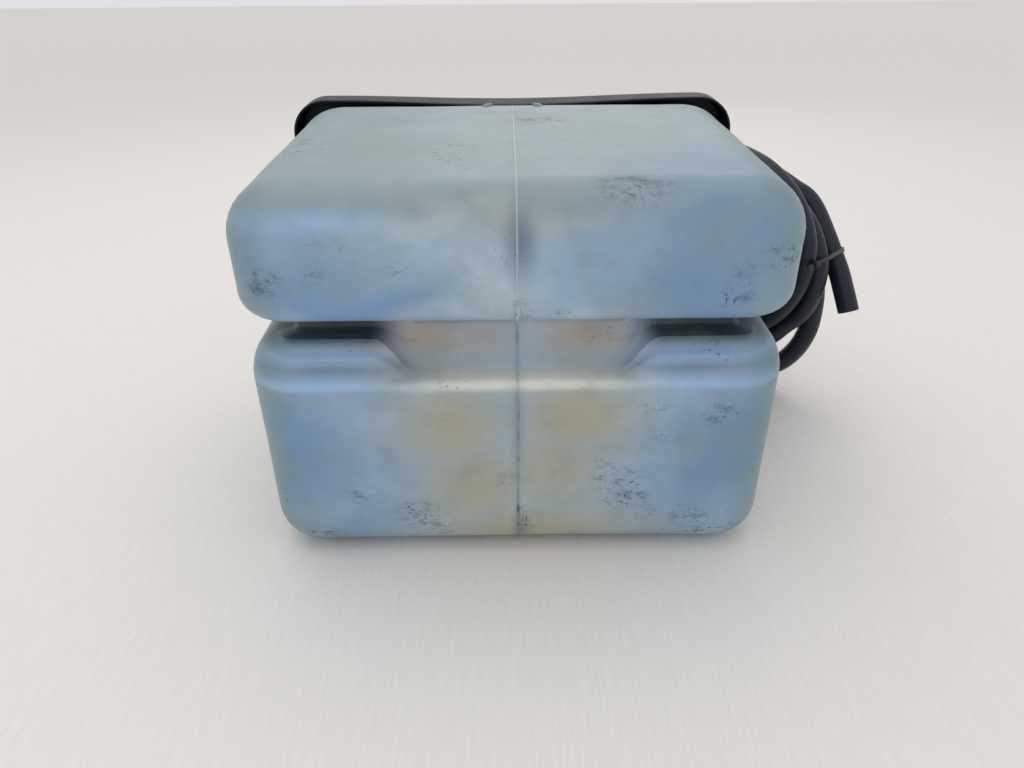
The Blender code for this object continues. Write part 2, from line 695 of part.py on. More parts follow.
def make_outlet():
    tube = BARB_TUBE_RADIUS
    tip = OUTLET_FLANGE_TOP + BARB_COUNT * BARB_PITCH + 0.001
    outer = [(BARB_BORE_RADIUS, tip), (tube, tip)]
    for index in range(BARB_COUNT):
        start = tip - 0.001 - index * BARB_PITCH
        outer += [(tube, start), (tube + BARB_HEIGHT, start - BARB_PITCH * 0.6),
                  (tube, start - BARB_PITCH * 0.62)]
    outer += [
        (tube, OUTLET_FLANGE_TOP), (OUTLET_FLANGE_RADIUS, OUTLET_FLANGE_TOP),
        (OUTLET_FLANGE_RADIUS, OUTLET_FLANGE_LOW), (OUTLET_SPIGOT_RADIUS, OUTLET_FLANGE_LOW),
        (OUTLET_SPIGOT_RADIUS, -OUTLET_SPIGOT_DEPTH), (BARB_BORE_RADIUS, -OUTLET_SPIGOT_DEPTH),
    ]
    fitting = turned("outlet_fitting", outer, cap_plastic, 24, closed=True)
    seal = turned("outlet_seal", ring_profile(OUTLET_BORE_RADIUS, OUTLET_FLANGE_RADIUS, GAP,
                                              GAP + OUTLET_SEAL_THICKNESS),
                  seal_rubber, 24, closed=True)
    dip_low = DIP_TUBE_FLOOR_GAP + TANK_WALL - STUB_TOP
    dip_tube = turned("dip_tube", ring_profile(DIP_TUBE_BORE_RADIUS, DIP_TUBE_RADIUS, dip_low,
                                               -OUTLET_SPIGOT_DEPTH - GAP),
                      cap_plastic, SMALL_STEPS, closed=True)
    inner = DIP_TUBE_RADIUS + GAP
    wall = inner + STRAINER_WALL
    low = dip_low - STRAINER_HEIGHT * 0.4
    high = low + STRAINER_HEIGHT
    strainer_profile = [
        (0.0, low + STRAINER_WALL), (inner, low + STRAINER_WALL), (inner, high), (wall, high),
        (wall, low), (0.0, low),
    ]
    strainer = turned("dip_strainer", strainer_profile, cap_plastic, SMALL_STEPS)
    slot_middle = low + STRAINER_WALL + 0.0005 + STRAINER_SLOT_HEIGHT / 2.0
    for index in range(3):
        size = (wall * 2.4, STRAINER_SLOT_WIDTH, STRAINER_SLOT_HEIGHT)
        slot = block(f"strainer_slot_{index + 1}", size, group=cutters, parent=strainer)
        slot.location = (0.0, 0.0, slot_middle)
        slot.rotation_euler = (0.0, 0.0, math.pi * index / 3.0)
        cut(strainer, slot)
    for piece in (fitting, seal, dip_tube, strainer):
        lay_along_depth(piece, OUTLET_X, STUB_TOP, OUTLET_H)


def make_hose_end():
    cuff = turned("hose_cuff", ring_profile(HOSE_BORE_RADIUS, HOSE_RADIUS, CUFF_LOW, CUFF_HIGH),
                  hose_rubber, 24, closed=True)
    lay_along_depth(cuff, OUTLET_X, STUB_TOP, OUTLET_H)

    middle = (CUFF_LOW + CUFF_HIGH) / 2.0
    inner = HOSE_RADIUS + GAP
    outer = inner + CLAMP_BAND
    band = turned("hose_clamp", ring_profile(inner, outer, middle - CLAMP_WIDTH / 2.0,
                                             middle + CLAMP_WIDTH / 2.0), spring_steel, closed=True)
    housing_y = outer - 0.0003 + CLAMP_HOUSING[1] / 2.0
    housing = block("clamp_housing", CLAMP_HOUSING, group=cutters, parent=band)
    housing.location = (0.0, housing_y, middle)
    join(band, housing)
    channel = rod("clamp_channel", CLAMP_SCREW_RADIUS + GAP, -CLAMP_HOUSING[0], CLAMP_HOUSING[0],
                  steps=SMALL_STEPS, group=cutters, parent=band)
    channel.rotation_euler = (0.0, math.pi / 2.0, 0.0)
    channel.location = (0.0, housing_y, middle)
    cut(band, channel)
    lay_along_depth(band, OUTLET_X, STUB_TOP, OUTLET_H)

    half = CLAMP_HOUSING[0] / 2.0
    head_low = half + GAP
    head_high = head_low + CLAMP_SCREW_HEAD_HEIGHT
    profile = [
        (0.0, head_high), (CLAMP_SCREW_HEAD_RADIUS, head_high), (CLAMP_SCREW_HEAD_RADIUS, head_low),
        (CLAMP_SCREW_RADIUS, head_low), (CLAMP_SCREW_RADIUS, -half - 0.001), (0.0, -half - 0.001),
    ]
    screw = turned("clamp_screw", profile, zinc_steel, SMALL_STEPS)
    slot = block("clamp_slot", (CLAMP_SCREW_HEAD_RADIUS * 3.0, CLAMP_SLOT_WIDTH, 0.002),
                 group=cutters, parent=screw)
    slot.location = (0.0, 0.0, head_high)
    cut(screw, slot)
    screw.rotation_euler = (0.0, math.pi / 2.0, 0.0)
    screw.location = (OUTLET_X, STUB_TOP + middle, OUTLET_H - housing_y)


# ---------------------------------------------------------------- free hose, coil and tie
def smooth_route(points, step):
    """Points at even distances along a smooth curve through the given points."""
    route = [Vector(point) for point in points]
    ends = [route[0] * 2.0 - route[1]] + route + [route[-1] * 2.0 - route[-2]]
    fine = [route[0]]
    for before, start, end, after in zip(ends, ends[1:], ends[2:], ends[3:]):
        first = start + (end - before) / 6.0
        second = end - (after - start) / 6.0
        fine += interpolate_bezier(start, first, second, end, 17)[1:]
    length = sum((b - a).length for a, b in zip(fine, fine[1:]))
    count = max(2, round(length / step))
    result = [fine[0]]
    walked = 0.0
    for a, b in zip(fine, fine[1:]):
        stretch = (b - a).length
        while len(result) < count and walked + stretch >= length * len(result) / count:
            share = (length * len(result) / count - walked) / stretch
            result.append(a.lerp(b, share))
        walked += stretch
    return result + [fine[-1]]


def make_tube(name, points):
    curve = bpy.data.curves.new(name, "CURVE")
    curve.dimensions = "3D"
    curve.bevel_depth = HOSE_RADIUS
    curve.bevel_resolution = 3
    curve.use_fill_caps = True
    line = curve.splines.new("POLY")
    route = smooth_route(points, HOSE_POINT_STEP * 2.0 * HOSE_RADIUS)
    line.points.add(len(route) - 1)
    for point, place in zip(line.points, route):
        point.co = (*place, 1.0)
    return add_object(name, curve, hose_rubber, parent=None)


def oval_points(middle, half_x, half_z, steps=14):
    """Points of an oval about (middle, 0), from its top down its outer side."""
    angles = [math.pi / 2.0 - math.tau * index / steps for index in range(steps)]
    return [(middle + half_x * math.cos(angle), half_z * math.sin(angle)) for angle in angles]


def oval_band(half_x, half_y, band, width, steps=28):
    """A flat band that lies round an oval, as one closed skin."""
    bm = bmesh.new()
    section = ((0.0, -0.5), (band, -0.5), (band, 0.5), (0.0, 0.5))
    rows = []
    for index in range(steps):
        angle = math.tau * index / steps
        row = [bm.verts.new(((half_x + out) * math.cos(angle), (half_y + out) * math.sin(angle),
                             level * width)) for out, level in section]
        rows.append(row)
    for row, following in zip(rows, rows[1:] + rows[:1]):
        for index in range(4):
            other = (index + 1) % 4
            bm.faces.new((row[index], following[index], following[other], row[other]))
    return bm


def coil_frame():
    """The coil's centre and axes: its local Z is the axis that its turns go round."""
    across = Vector((math.cos(COIL_YAW), math.sin(COIL_YAW), 0.0))
    towards = Vector((math.sin(COIL_YAW), -math.cos(COIL_YAW), 0.0))
    upward = math.cos(COIL_LEAN) * Vector((0.0, 0.0, 1.0)) + math.sin(COIL_LEAN) * towards
    axis = across.cross(upward)
    reach = math.hypot(COIL_HALF_SPREAD * math.cos(COIL_LEAN), COIL_HALF_THICKNESS * math.sin(COIL_LEAN))
    height = COIL_RADIUS * math.cos(COIL_LEAN) + reach + GAP
    centre = Vector((*COIL_CENTRE, height))
    turn = Matrix((across, upward, axis)).transposed().to_4x4()
    return Matrix.Translation(centre) @ turn


def make_coil():
    profile = oval_points(COIL_RADIUS, COIL_HALF_SPREAD, COIL_HALF_THICKNESS)
    coil = turned("hose_coil", profile, hose_rubber, 36, closed=True, parent=None)
    frame = coil_frame()
    coil.matrix_world = frame

    tie = mesh_object("cable_tie", oval_band(COIL_HALF_SPREAD + TIE_GAP, COIL_HALF_THICKNESS + TIE_GAP,
                                             TIE_BAND, TIE_WIDTH), tie_plastic, parent=None)
    head = block("tie_head", TIE_HEAD, group=cutters, parent=tie)
    head.location = (COIL_HALF_SPREAD + TIE_GAP + TIE_BAND + TIE_HEAD[0] / 2.0 - 0.0006, 0.0, 0.0)
    join(tie, head)
    spot = Vector((COIL_RADIUS * math.cos(TIE_ANGLE), COIL_RADIUS * math.sin(TIE_ANGLE), 0.0))
    outward = spot.normalized()
    along = Vector((-outward.y, outward.x, 0.0))
    tie_turn = Matrix((outward, along.cross(outward), along)).transposed().to_4x4()
    tie.matrix_world = frame @ Matrix.Translation(spot) @ tie_turn


# ---------------------------------------------------------------- standing on the floor
def contact_tilt():
    """The lean at which the tank's front edge and the cover's lower side are equally low."""
    tank_points = bottom_edge_points()
    cover_points = [(TANK_DEPTH + COVER_LIP_GAP, -COVER_DROP)]
    cover_points += [(depth, -COVER_DROP + inset) for inset, depth in cover_edge_points()]

    def lowest(points, tilt):
        return min(depth * math.sin(tilt) + height * math.cos(tilt) for depth, height in points)

    low, high = 0.0, math.radians(20.0)
    for _ in range(50):
        tilt = (low + high) / 2.0
        if lowest(cover_points, tilt) < lowest(tank_points, tilt):
            low = tilt
        else:
            high = tilt
    return (low + high) / 2.0


def stand_on_floor():
    """Lean the vessel and put the middle of its underside box at the origin."""
    rest_frame.rotation_euler = (contact_tilt(), 0.0, 0.0)
    bpy.context.view_layer.update()
    graph = bpy.context.evaluated_depsgraph_get()
    corners = []
    for item in parts.objects:
        top = item
        while top.parent is not None:
            top = top.parent
        if item.type == "EMPTY" or top is not rest_frame:
            continue
        shape = item.evaluated_get(graph)
        mesh = shape.to_mesh()
        corners += [item.matrix_world @ vertex.co for vertex in mesh.vertices]
        shape.to_mesh_clear()
    middle = [(min(c[axis] for c in corners) + max(c[axis] for c in corners)) / 2.0 for axis in (0, 1)]
    floor = min(c[2] for c in corners)
    rest_frame.location = (-middle[0], -middle[1], -floor)


def build():
    tank = make_tank()
    add_tank_fittings(tank)
    make_cover()
    make_cover_screws()
    make_cap()
    make_pressure_valve()
    make_relief_spring()
    make_sender()
    make_outlet()
    make_hose_end()
    stand_on_floor()
    make_tube("hose_run", RUN_POINTS)
    make_tube("hose_tail", TAIL_POINTS)
    make_coil()


build()
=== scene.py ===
import json
import math
import bmesh
import bpy
from mathutils import Matrix, Vector, noise


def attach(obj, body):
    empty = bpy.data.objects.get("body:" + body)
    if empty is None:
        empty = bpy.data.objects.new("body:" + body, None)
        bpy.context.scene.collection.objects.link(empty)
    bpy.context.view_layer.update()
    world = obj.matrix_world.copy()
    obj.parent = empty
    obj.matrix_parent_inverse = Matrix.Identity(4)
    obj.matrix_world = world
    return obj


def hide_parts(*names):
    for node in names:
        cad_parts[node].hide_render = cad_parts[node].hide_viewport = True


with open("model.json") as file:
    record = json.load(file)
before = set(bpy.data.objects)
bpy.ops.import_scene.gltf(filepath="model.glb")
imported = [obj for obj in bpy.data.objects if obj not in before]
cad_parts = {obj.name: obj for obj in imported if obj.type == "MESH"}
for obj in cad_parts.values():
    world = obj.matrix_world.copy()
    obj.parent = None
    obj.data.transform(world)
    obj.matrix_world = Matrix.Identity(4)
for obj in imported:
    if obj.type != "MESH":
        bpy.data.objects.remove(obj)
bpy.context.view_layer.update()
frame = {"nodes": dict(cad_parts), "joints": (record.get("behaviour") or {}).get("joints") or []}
print("frame loaded:", len(frame["nodes"]), "nodes")

# the vessel lies leaning back a little: X across, then depth towards the cap, then height as it lies
fit = {"neckDepth": 0.267, "neckHeight": 0.085, "coverBack": 0.2525, "stubTop": 0.259}
turnJoint = next(joint for joint in frame["joints"] if joint["name"] == "cap_turn")
depthAxis = Vector(turnJoint["axis"]).normalized()
heightAxis = Vector((1.0, 0.0, 0.0)).cross(depthAxis)
vesselOrigin = Vector(turnJoint["pos_m"]) - depthAxis * fit["neckDepth"] - heightAxis * fit["neckHeight"]
vessel = Matrix.Translation(vesselOrigin) @ Matrix(((1, 0, 0), depthAxis, heightAxis)).transposed().to_4x4()
lean = math.atan2(depthAxis.z, depthAxis.y)


def alongDepth(x, depth, height):
    # a place for a piece that is turned about its own Z
    return vessel @ Matrix.Translation((x, depth, height)) @ Matrix.Rotation(-math.pi / 2, 4, "X")


# ---- camera
view = {"place": (-0.0053, -0.5378, 0.3229), "pitch": 26.318, "yaw": 0.298, "roll": 0.496, "lens": 27.385}


def makeCamera():
    pitch, yaw, roll = (math.radians(view[key]) for key in ("pitch", "yaw", "roll"))
    ahead = Vector((math.sin(yaw) * math.cos(pitch), math.cos(yaw) * math.cos(pitch), -math.sin(pitch)))
    right = Vector((math.cos(yaw), -math.sin(yaw), 0.0))
    up = right.cross(ahead)
    tiltedRight = right * math.cos(roll) - up * math.sin(roll)
    tiltedUp = up * math.cos(roll) + right * math.sin(roll)
    data = bpy.data.cameras.new("studioCamera")
    data.lens, data.sensor_width = view["lens"], 36.0
    data.clip_start, data.clip_end = 0.01, 50.0
    camera = bpy.data.objects.new("studioCamera", data)
    bpy.context.scene.collection.objects.link(camera)
    turn = Matrix((tiltedRight, tiltedUp, -ahead)).transposed().to_4x4()
    camera.matrix_world = Matrix.Translation(view["place"]) @ turn
    bpy.context.scene.camera = camera


makeCamera()


# ---- building meshes
def newObject(name, data):
    piece = bpy.data.objects.new(name, data)
    bpy.context.scene.collection.objects.link(piece)
    return piece


def meshPiece(name, bm, material, place=None, sharp=40.0):
    if place is not None:
        bm.transform(place)
    bmesh.ops.recalc_face_normals(bm, faces=bm.faces)
    mesh = bpy.data.meshes.new(name)
    bm.to_mesh(mesh)
    bm.free()
    mesh.shade_smooth()
    mesh.set_sharp_from_angle(angle=math.radians(sharp))
    mesh.materials.append(material)
    return newObject(name, mesh)


def frozen(piece):
    # the modifiers' result as a plain mesh
    graph = bpy.context.evaluated_depsgraph_get()
    mesh = bpy.data.meshes.new_from_object(piece.evaluated_get(graph))
    piece.modifiers.clear()
    piece.data = mesh
    mesh.name = piece.name
    return piece


def removePiece(piece):
    bpy.data.objects.remove(piece)


def skin(rings, closeStart=True, closeEnd=True, bm=None):
    # faces through rings; a ring of one point is a pole
    bm = bm or bmesh.new()
    rows = [[bm.verts.new(point) for point in ring] for ring in rings]
    for lower, upper in zip(rows, rows[1:]):
        count = max(len(lower), len(upper))
        for index in range(count):
            after = (index + 1) % count
            corners = [lower[index % len(lower)], lower[after % len(lower)],
                       upper[after % len(upper)], upper[index % len(upper)]]
            bm.faces.new(list(dict.fromkeys(corners)))
    if closeStart and len(rows[0]) > 2:
        bm.faces.new(list(reversed(rows[0])))
    if closeEnd and len(rows[-1]) > 2:
        bm.faces.new(rows[-1])
    return bm


def softened(profile, radius, closed=False):
    # the same outline with its corners rounded off
    count = len(profile)
    result = []
    for index, point in enumerate(profile):
        if not closed and index in (0, count - 1):
            result.append(point)
            continue
        here = Vector(point)
        before, after = Vector(profile[index - 1]), Vector(profile[(index + 1) % count])
        start = here + (before - here).normalized() * min(radius, (before - here).length * 0.4)
        end = here + (after - here).normalized() * min(radius, (after - here).length * 0.4)
        for share in (0.0, 0.33, 0.67, 1.0):
            curve = start.lerp(here, share).lerp(here.lerp(end, share), share)
            result.append((curve.x, curve.y))
    return result


def latheMesh(profile, steps=96, closed=False, bm=None):
    rings = []
    for radius, z in profile + profile[:1] * closed:
        if radius < 1e-6:
            rings.append([(0.0, 0.0, z)])
        else:
            rings.append([(radius * math.cos(math.tau * k / steps), radius * math.sin(math.tau * k / steps),
                           z)
                          for k in range(steps)])
    bm = skin(rings, False, False, bm)
    bmesh.ops.remove_doubles(bm, verts=bm.verts, dist=1e-7)
    return bm


def tubeProfile(inner, outer, low, high):
    return [(outer, high), (outer, low), (inner, low), (inner, high)]


def arc(centreX, centreY, radius, start, end, steps):
    return [(centreX + radius * math.cos(math.radians(start + (end - start) * k / steps)),
             centreY + radius * math.sin(math.radians(start + (end - start) * k / steps)))
            for k in range(steps + 1)]


def line(start, end, steps):
    # points after the start, up to and with the end
    return [tuple(a + (b - a) * k / steps for a, b in zip(start, end)) for k in range(1, steps + 1)]


def blendIn(value, low, high):
    share = min(max((value - low) / (high - low), 0.0), 1.0)
    return share * share * (3.0 - 2.0 * share)


# ---- node trees
def put(tree, kind, inputs=None, **settings):
    node = tree.nodes.new(kind)
    for name, value in settings.items():
        setattr(node, name, value)
    for key, value in (inputs or {}).items():
        if isinstance(value, bpy.types.NodeSocket):
            tree.links.new(value, node.inputs[key])
        else:
            node.inputs[key].default_value = value
    return node


def combine(tree, how, first, second):
    return put(tree, "ShaderNodeMath", {0: first, 1: second}, operation=how, use_clamp=False).outputs[0]


def ramped(tree, value, low, high):
    # 0 below low, 1 above high, smooth between
    return put(tree, "ShaderNodeMapRange", {0: value, 1: low, 2: high, 3: 0.0, 4: 1.0},
               interpolation_type="SMOOTHSTEP").outputs[0]


def mixed(tree, mask, first, second):
    node = put(tree, "ShaderNodeMix", {0: mask, 6: first, 7: second}, data_type="RGBA", clamp_factor=True)
    return node.outputs[2]


def noiseField(tree, vector, scale, detail=3.0, roughness=0.55, stretch=None):
    if stretch:
        vector = put(tree, "ShaderNodeVectorMath", {0: vector, 1: stretch}, operation="MULTIPLY").outputs[0]
    return put(tree, "ShaderNodeTexNoise", {"Vector": vector, "Scale": scale, "Detail": detail,
                                            "Roughness": roughness}).outputs["Fac"]


def newGroup(name, inputs, outputs):
    tree = bpy.data.node_groups.new(name, "ShaderNodeTree")
    for label, kind, value in inputs:
        socket = tree.interface.new_socket(name=label, in_out="INPUT", socket_type=kind)
        if value is not None:
            socket.default_value = value
    for label, kind in outputs:
        tree.interface.new_socket(name=label, in_out="OUTPUT", socket_type=kind)
    return tree, tree.nodes.new("NodeGroupInput").outputs, tree.nodes.new("NodeGroupOutput").inputs


def placed(tree, group, inputs):
    node = put(tree, "ShaderNodeGroup", node_tree=group)
    for key, value in inputs.items():
        if isinstance(value, bpy.types.NodeSocket):
            tree.links.new(value, node.inputs[key])
        else:
            node.inputs[key].default_value = value
    return node


def makeSpotGroup():
    # a soft round patch about a place, as wide along each axis as its size says
    tree, inputs, outputs = newGroup("softSpot", [("Vector", "NodeSocketVector", None),
                                                  ("Place", "NodeSocketVector", (0, 0, 0)),
                                                  ("Size", "NodeSocketVector", (0.05, 0.05, 0.05))],
                                     [("Mask", "NodeSocketFloat")])
    away = put(tree, "ShaderNodeVectorMath", {0: inputs[0], 1: inputs[1]}, operation="SUBTRACT").outputs[0]
    away = put(tree, "ShaderNodeVectorMath", {0: away, 1: inputs[2]}, operation="DIVIDE").outputs[0]
    reach = put(tree, "ShaderNodeVectorMath", {0: away}, operation="LENGTH").outputs[1]
    tree.links.new(ramped(tree, reach, 1.0, 0.0), outputs[0])
    return tree


def makeGrainGroup():
    # fine moulded or worn grain: a height for bump and a speckle for roughness
    tree, inputs, outputs = newGroup("fineGrain", [("Vector", "NodeSocketVector", None),
                                                   ("Scale", "NodeSocketFloat", 900.0),
                                                   ("Scratches", "NodeSocketFloat", 0.3)],
                                     [("Height", "NodeSocketFloat"), ("Speckle", "NodeSocketFloat")])
    grain = put(tree, "ShaderNodeTexNoise", {"Vector": inputs[0], "Scale": inputs[1],
                                             "Detail": 2.0}).outputs["Fac"]
    broad = noiseField(tree, inputs[0], 60.0, 4.0)
    streak = noiseField(tree, inputs[0], 30.0, 5.0, 0.7, (1.0, 6.0, 22.0))
    cross = noiseField(tree, inputs[0], 34.0, 5.0, 0.7, (19.0, 5.0, 1.0))
    marks = combine(tree, "ADD", ramped(tree, streak, 0.66, 0.74), ramped(tree, cross, 0.67, 0.75))
    height = combine(tree, "SUBTRACT", grain, combine(tree, "MULTIPLY", marks, inputs[2]))
    tree.links.new(height, outputs[0])
    tree.links.new(combine(tree, "ADD", combine(tree, "MULTIPLY", broad, 0.7),
                           combine(tree, "MULTIPLY", marks, inputs[2])), outputs[1])
    return tree


def makeDustGroup():
    # pale dust that lies on faces that look up
    tree, inputs, outputs = newGroup("lyingDust", [("Vector", "NodeSocketVector", None),
                                                   ("Amount", "NodeSocketFloat", 0.4)],
                                     [("Mask", "NodeSocketFloat")])
    normal = put(tree, "ShaderNodeNewGeometry").outputs["Normal"]
    up = put(tree, "ShaderNodeSeparateXYZ", {0: normal}).outputs[2]
    patches = ramped(tree, noiseField(tree, inputs[0], 28.0, 6.0, 0.65), 0.35, 0.75)
    lying = combine(tree, "MULTIPLY", ramped(tree, up, 0.1, 1.0), patches)
    tree.links.new(combine(tree, "MULTIPLY", lying, inputs[1]), outputs[0])
    return tree


softSpot, fineGrain, lyingDust = makeSpotGroup(), makeGrainGroup(), makeDustGroup()


def newMaterial(name, roughness, metallic=0.0, specular=0.5, subsurface=0.0):
    material = bpy.data.materials.new(name)
    material.use_nodes = True
    shader = material.node_tree.nodes["Principled BSDF"]
    shader.inputs["Roughness"].default_value = roughness
    shader.inputs["Metallic"].default_value = metallic
    shader.inputs["Specular IOR Level"].default_value = specular
    shader.inputs["Subsurface Weight"].default_value = subsurface
    shader.inputs["Subsurface Scale"].default_value = 0.01
    return material, material.node_tree, shader


def vesselPlace(tree):
    # a surface point in the vessel's own axes: across, depth, height
    point = put(tree, "ShaderNodeTexCoord").outputs["Object"]
    back = vessel.inverted().translation
    return put(tree, "ShaderNodeMapping", {"Vector": point, "Location": tuple(back),
                                           "Rotation": (-lean, 0.0, 0.0)}).outputs[0]


def colour(red, green, blue):
    # screen values 0 to 255 to scene light
    return tuple(((value / 255 + 0.055) / 1.055) ** 2.4 if value > 10 else value / 3294
                 for value in (red, green, blue)) + (1.0,)


# ---- tank plastic: aged natural polyethylene, with bluish zones, cream where light passes through
tankLook = {
    "top": colour(140, 158, 162), "front": colour(164, 190, 210), "rim": colour(96, 122, 120),
    "blue": colour(104, 138, 172), "deepBlue": colour(112, 152, 204), "cream": colour(176, 170, 144),
    "paleEdge": colour(236, 237, 225), "pink": colour(176, 160, 146), "grime": colour(50, 53, 47),
    "seam": colour(96, 120, 140), "shade": colour(62, 76, 84), "sheen": colour(160, 196, 236),
    "topStain": colour(140, 152, 148), "flash": colour(196, 208, 206),
    # place across, depth, height, then size along each, then strength
    "blueSpots": [
        ((-0.118, 0.0, 0.190), (0.075, 0.09, 0.050), 0.62),
        ((-0.135, 0.01, 0.212), (0.060, 0.07, 0.045), 0.45),
        ((-0.070, 0.0, 0.176), (0.060, 0.06, 0.032), 0.60),
        ((0.105, 0.0, 0.190), (0.085, 0.09, 0.070), 0.72),
        ((0.110, 0.045, 0.239), (0.095, 0.075, 0.06), 0.52),
        ((0.060, 0.0, 0.205), (0.070, 0.05, 0.050), 0.35),
        ((-0.128, 0.0, 0.085), (0.075, 0.11, 0.095), 0.70),
        ((-0.080, 0.0, 0.070), (0.050, 0.09, 0.060), 0.40),
        ((-0.110, 0.0, 0.022), (0.070, 0.09, 0.050), 0.60),
        ((0.118, 0.0, 0.075), (0.075, 0.11, 0.095), 0.78),
        ((0.080, 0.0, 0.050), (0.050, 0.09, 0.050), 0.42),
        ((-0.110, 0.012, 0.138), (0.090, 0.04, 0.030), 0.45),
        ((0.115, 0.012, 0.138), (0.090, 0.04, 0.035), 0.60),
        ((-0.158, 0.110, 0.185), (0.05, 0.10, 0.05), 0.5),
        ((0.158, 0.110, 0.085), (0.05, 0.10, 0.08), 0.5),
        ((-0.158, 0.110, 0.065), (0.05, 0.10, 0.06), 0.5),
        ((0.158, 0.100, 0.200), (0.05, 0.10, 0.04), 0.4),
    ],
    "deepSpots": [
        ((-0.092, 0.0, 0.174), (0.040, 0.05, 0.020), 0.75),
        ((0.112, 0.0, 0.178), (0.035, 0.05, 0.026), 0.40),
        ((-0.135, 0.0, 0.100), (0.030, 0.05, 0.030), 0.30),
    ],
    "creamSpots": [
        ((-0.038, 0.0, 0.100), (0.060, 0.08, 0.060), 0.85),
        ((-0.026, 0.0, 0.055), (0.062, 0.08, 0.065), 0.85),
        ((0.034, 0.0, 0.106), (0.062, 0.08, 0.050), 0.95),
        ((0.022, 0.0, 0.070), (0.056, 0.08, 0.070), 0.80),
        ((0.008, 0.0, 0.020), (0.120, 0.08, 0.042), 0.90),
        ((0.002, 0.004, 0.222), (0.045, 0.045, 0.020), 0.30),
    ],
    # painted light: a pink glow where light comes through the web between the lobes
    "pinkGlowSpots": [
        ((-0.054, 0.018, 0.150), (0.052, 0.03, 0.026), 0.9),
        ((-0.020, 0.020, 0.150), (0.044, 0.03, 0.026), 0.6),
        ((0.040, 0.020, 0.150), (0.052, 0.03, 0.024), 0.85),
    ],
    "shadeSpots": [
        ((-0.125, 0.022, 0.1520), (0.040, 0.022, 0.012), 0.2),
        ((0.120, 0.022, 0.1520), (0.04, 0.022, 0.012), 0.2),
        ((-0.108, 0.012, 0.1350), (0.065, 0.03, 0.0036), 0.35),
        ((0.104, 0.012, 0.1350), (0.060, 0.03, 0.0036), 0.3),
        ((-0.100, 0.016, 0.1470), (0.060, 0.03, 0.0034), 0.4),
        ((0.100, 0.016, 0.1470), (0.060, 0.03, 0.0034), 0.4),
    ],
    # painted highlights: pale patches along the upper lobe's top front edge, its lower edge and on its face
    "paleLightSpots": [
        ((-0.03, 0.002, 0.222), (0.170, 0.030, 0.012), 0.18),
        ((0.0, -0.002, 0.165), (0.150, 0.04, 0.012), 0.25),
        ((-0.02, 0.0, 0.190), (0.050, 0.05, 0.040), 0.25),
    ],
    # the lower lobe's top edge catches the light: pale across the middle, bluish to the sides
    "bandSpots": [
        ((0.0, 0.002, 0.1285), (0.125, 0.03, 0.0062), 0.95),
        ((-0.052, 0.0, 0.1270), (0.030, 0.03, 0.005), 0.4),
        ((0.052, 0.0, 0.1280), (0.040, 0.03, 0.006), 0.5),
    ],
    "sheenSpots": [
        ((-0.108, 0.008, 0.2230), (0.065, 0.03, 0.0100), 0.55),
        ((-0.118, 0.002, 0.1275), (0.070, 0.03, 0.0050), 0.85),
        ((0.112, 0.002, 0.1275), (0.065, 0.03, 0.005), 0.75),
        ((-0.105, 0.010, 0.1415), (0.070, 0.03, 0.0035), 0.55),
        ((0.108, 0.010, 0.1415), (0.060, 0.03, 0.0035), 0.4),
    ],
    "topStains": [
        ((0.0, 0.150, 0.239), (0.080, 0.060, 0.03), 0.6),
        ((-0.04, 0.080, 0.239), (0.090, 0.050, 0.03), 0.5),
        ((0.060, 0.120, 0.239), (0.060, 0.060, 0.03), 0.45),
        ((-0.10, 0.120, 0.239), (0.060, 0.060, 0.03), 0.25),
    ],
    "dirtSpots": [
        ((-0.134, -0.002, 0.190), (0.017, 0.04, 0.017), 1.0),
        ((-0.060, 0.0, 0.198), (0.020, 0.04, 0.008), 0.45),
        ((-0.105, 0.0, 0.212), (0.010, 0.03, 0.006), 0.5),
        ((-0.110, 0.0, 0.196), (0.022, 0.04, 0.012), 0.4),
        ((0.143, 0.004, 0.203), (0.026, 0.05, 0.014), 0.95),
        ((0.118, 0.0, 0.182), (0.018, 0.04, 0.016), 0.8),
        ((0.120, 0.0, 0.196), (0.012, 0.04, 0.010), 0.7),
        ((0.062, 0.018, 0.238), (0.034, 0.020, 0.04), 0.75),
        ((0.018, 0.165, 0.239), (0.034, 0.020, 0.04), 0.9),
        ((-0.015, 0.190, 0.239), (0.060, 0.012, 0.04), 0.5),
        ((-0.130, 0.110, 0.239), (0.014, 0.020, 0.03), 0.6),
        ((-0.085, 0.175, 0.239), (0.010, 0.014, 0.03), 0.5),
        ((0.066, 0.0, 0.052), (0.026, 0.04, 0.026), 1.0),
        ((0.052, 0.0, 0.064), (0.016, 0.04, 0.018), 0.7),
        ((0.080, 0.0, 0.034), (0.014, 0.04, 0.012), 0.6),
        ((0.125, 0.0, 0.016), (0.034, 0.04, 0.017), 1.0),
        ((0.108, 0.0, 0.030), (0.030, 0.04, 0.014), 0.6),
        ((-0.062, 0.0, 0.034), (0.026, 0.04, 0.018), 0.95),
        ((-0.048, 0.0, 0.024), (0.018, 0.04, 0.014), 0.7),
        ((-0.122, 0.0, 0.014), (0.028, 0.04, 0.016), 0.95),
        ((-0.095, 0.0, 0.050), (0.026, 0.04, 0.014), 0.55),
        ((0.118, 0.0, 0.108), (0.020, 0.04, 0.014), 0.95),
        ((0.086, 0.0, 0.092), (0.020, 0.04, 0.010), 0.5),
        ((0.002, 0.0, 0.172), (0.010, 0.04, 0.018), 0.9),
        ((0.004, 0.0, 0.028), (0.012, 0.04, 0.022), 0.8),
        ((0.080, 0.0, 0.112), (0.022, 0.03, 0.012), 0.5),
        ((-0.008, 0.0, 0.060), (0.03, 0.03, 0.02), 0.35),
        ((0.024, 0.0, 0.170), (0.012, 0.04, 0.010), 0.6),
        ((-0.092, 0.014, 0.147), (0.024, 0.03, 0.008), 0.5),
        ((-0.058, 0.016, 0.150), (0.012, 0.03, 0.010), 0.4),
    ],
}


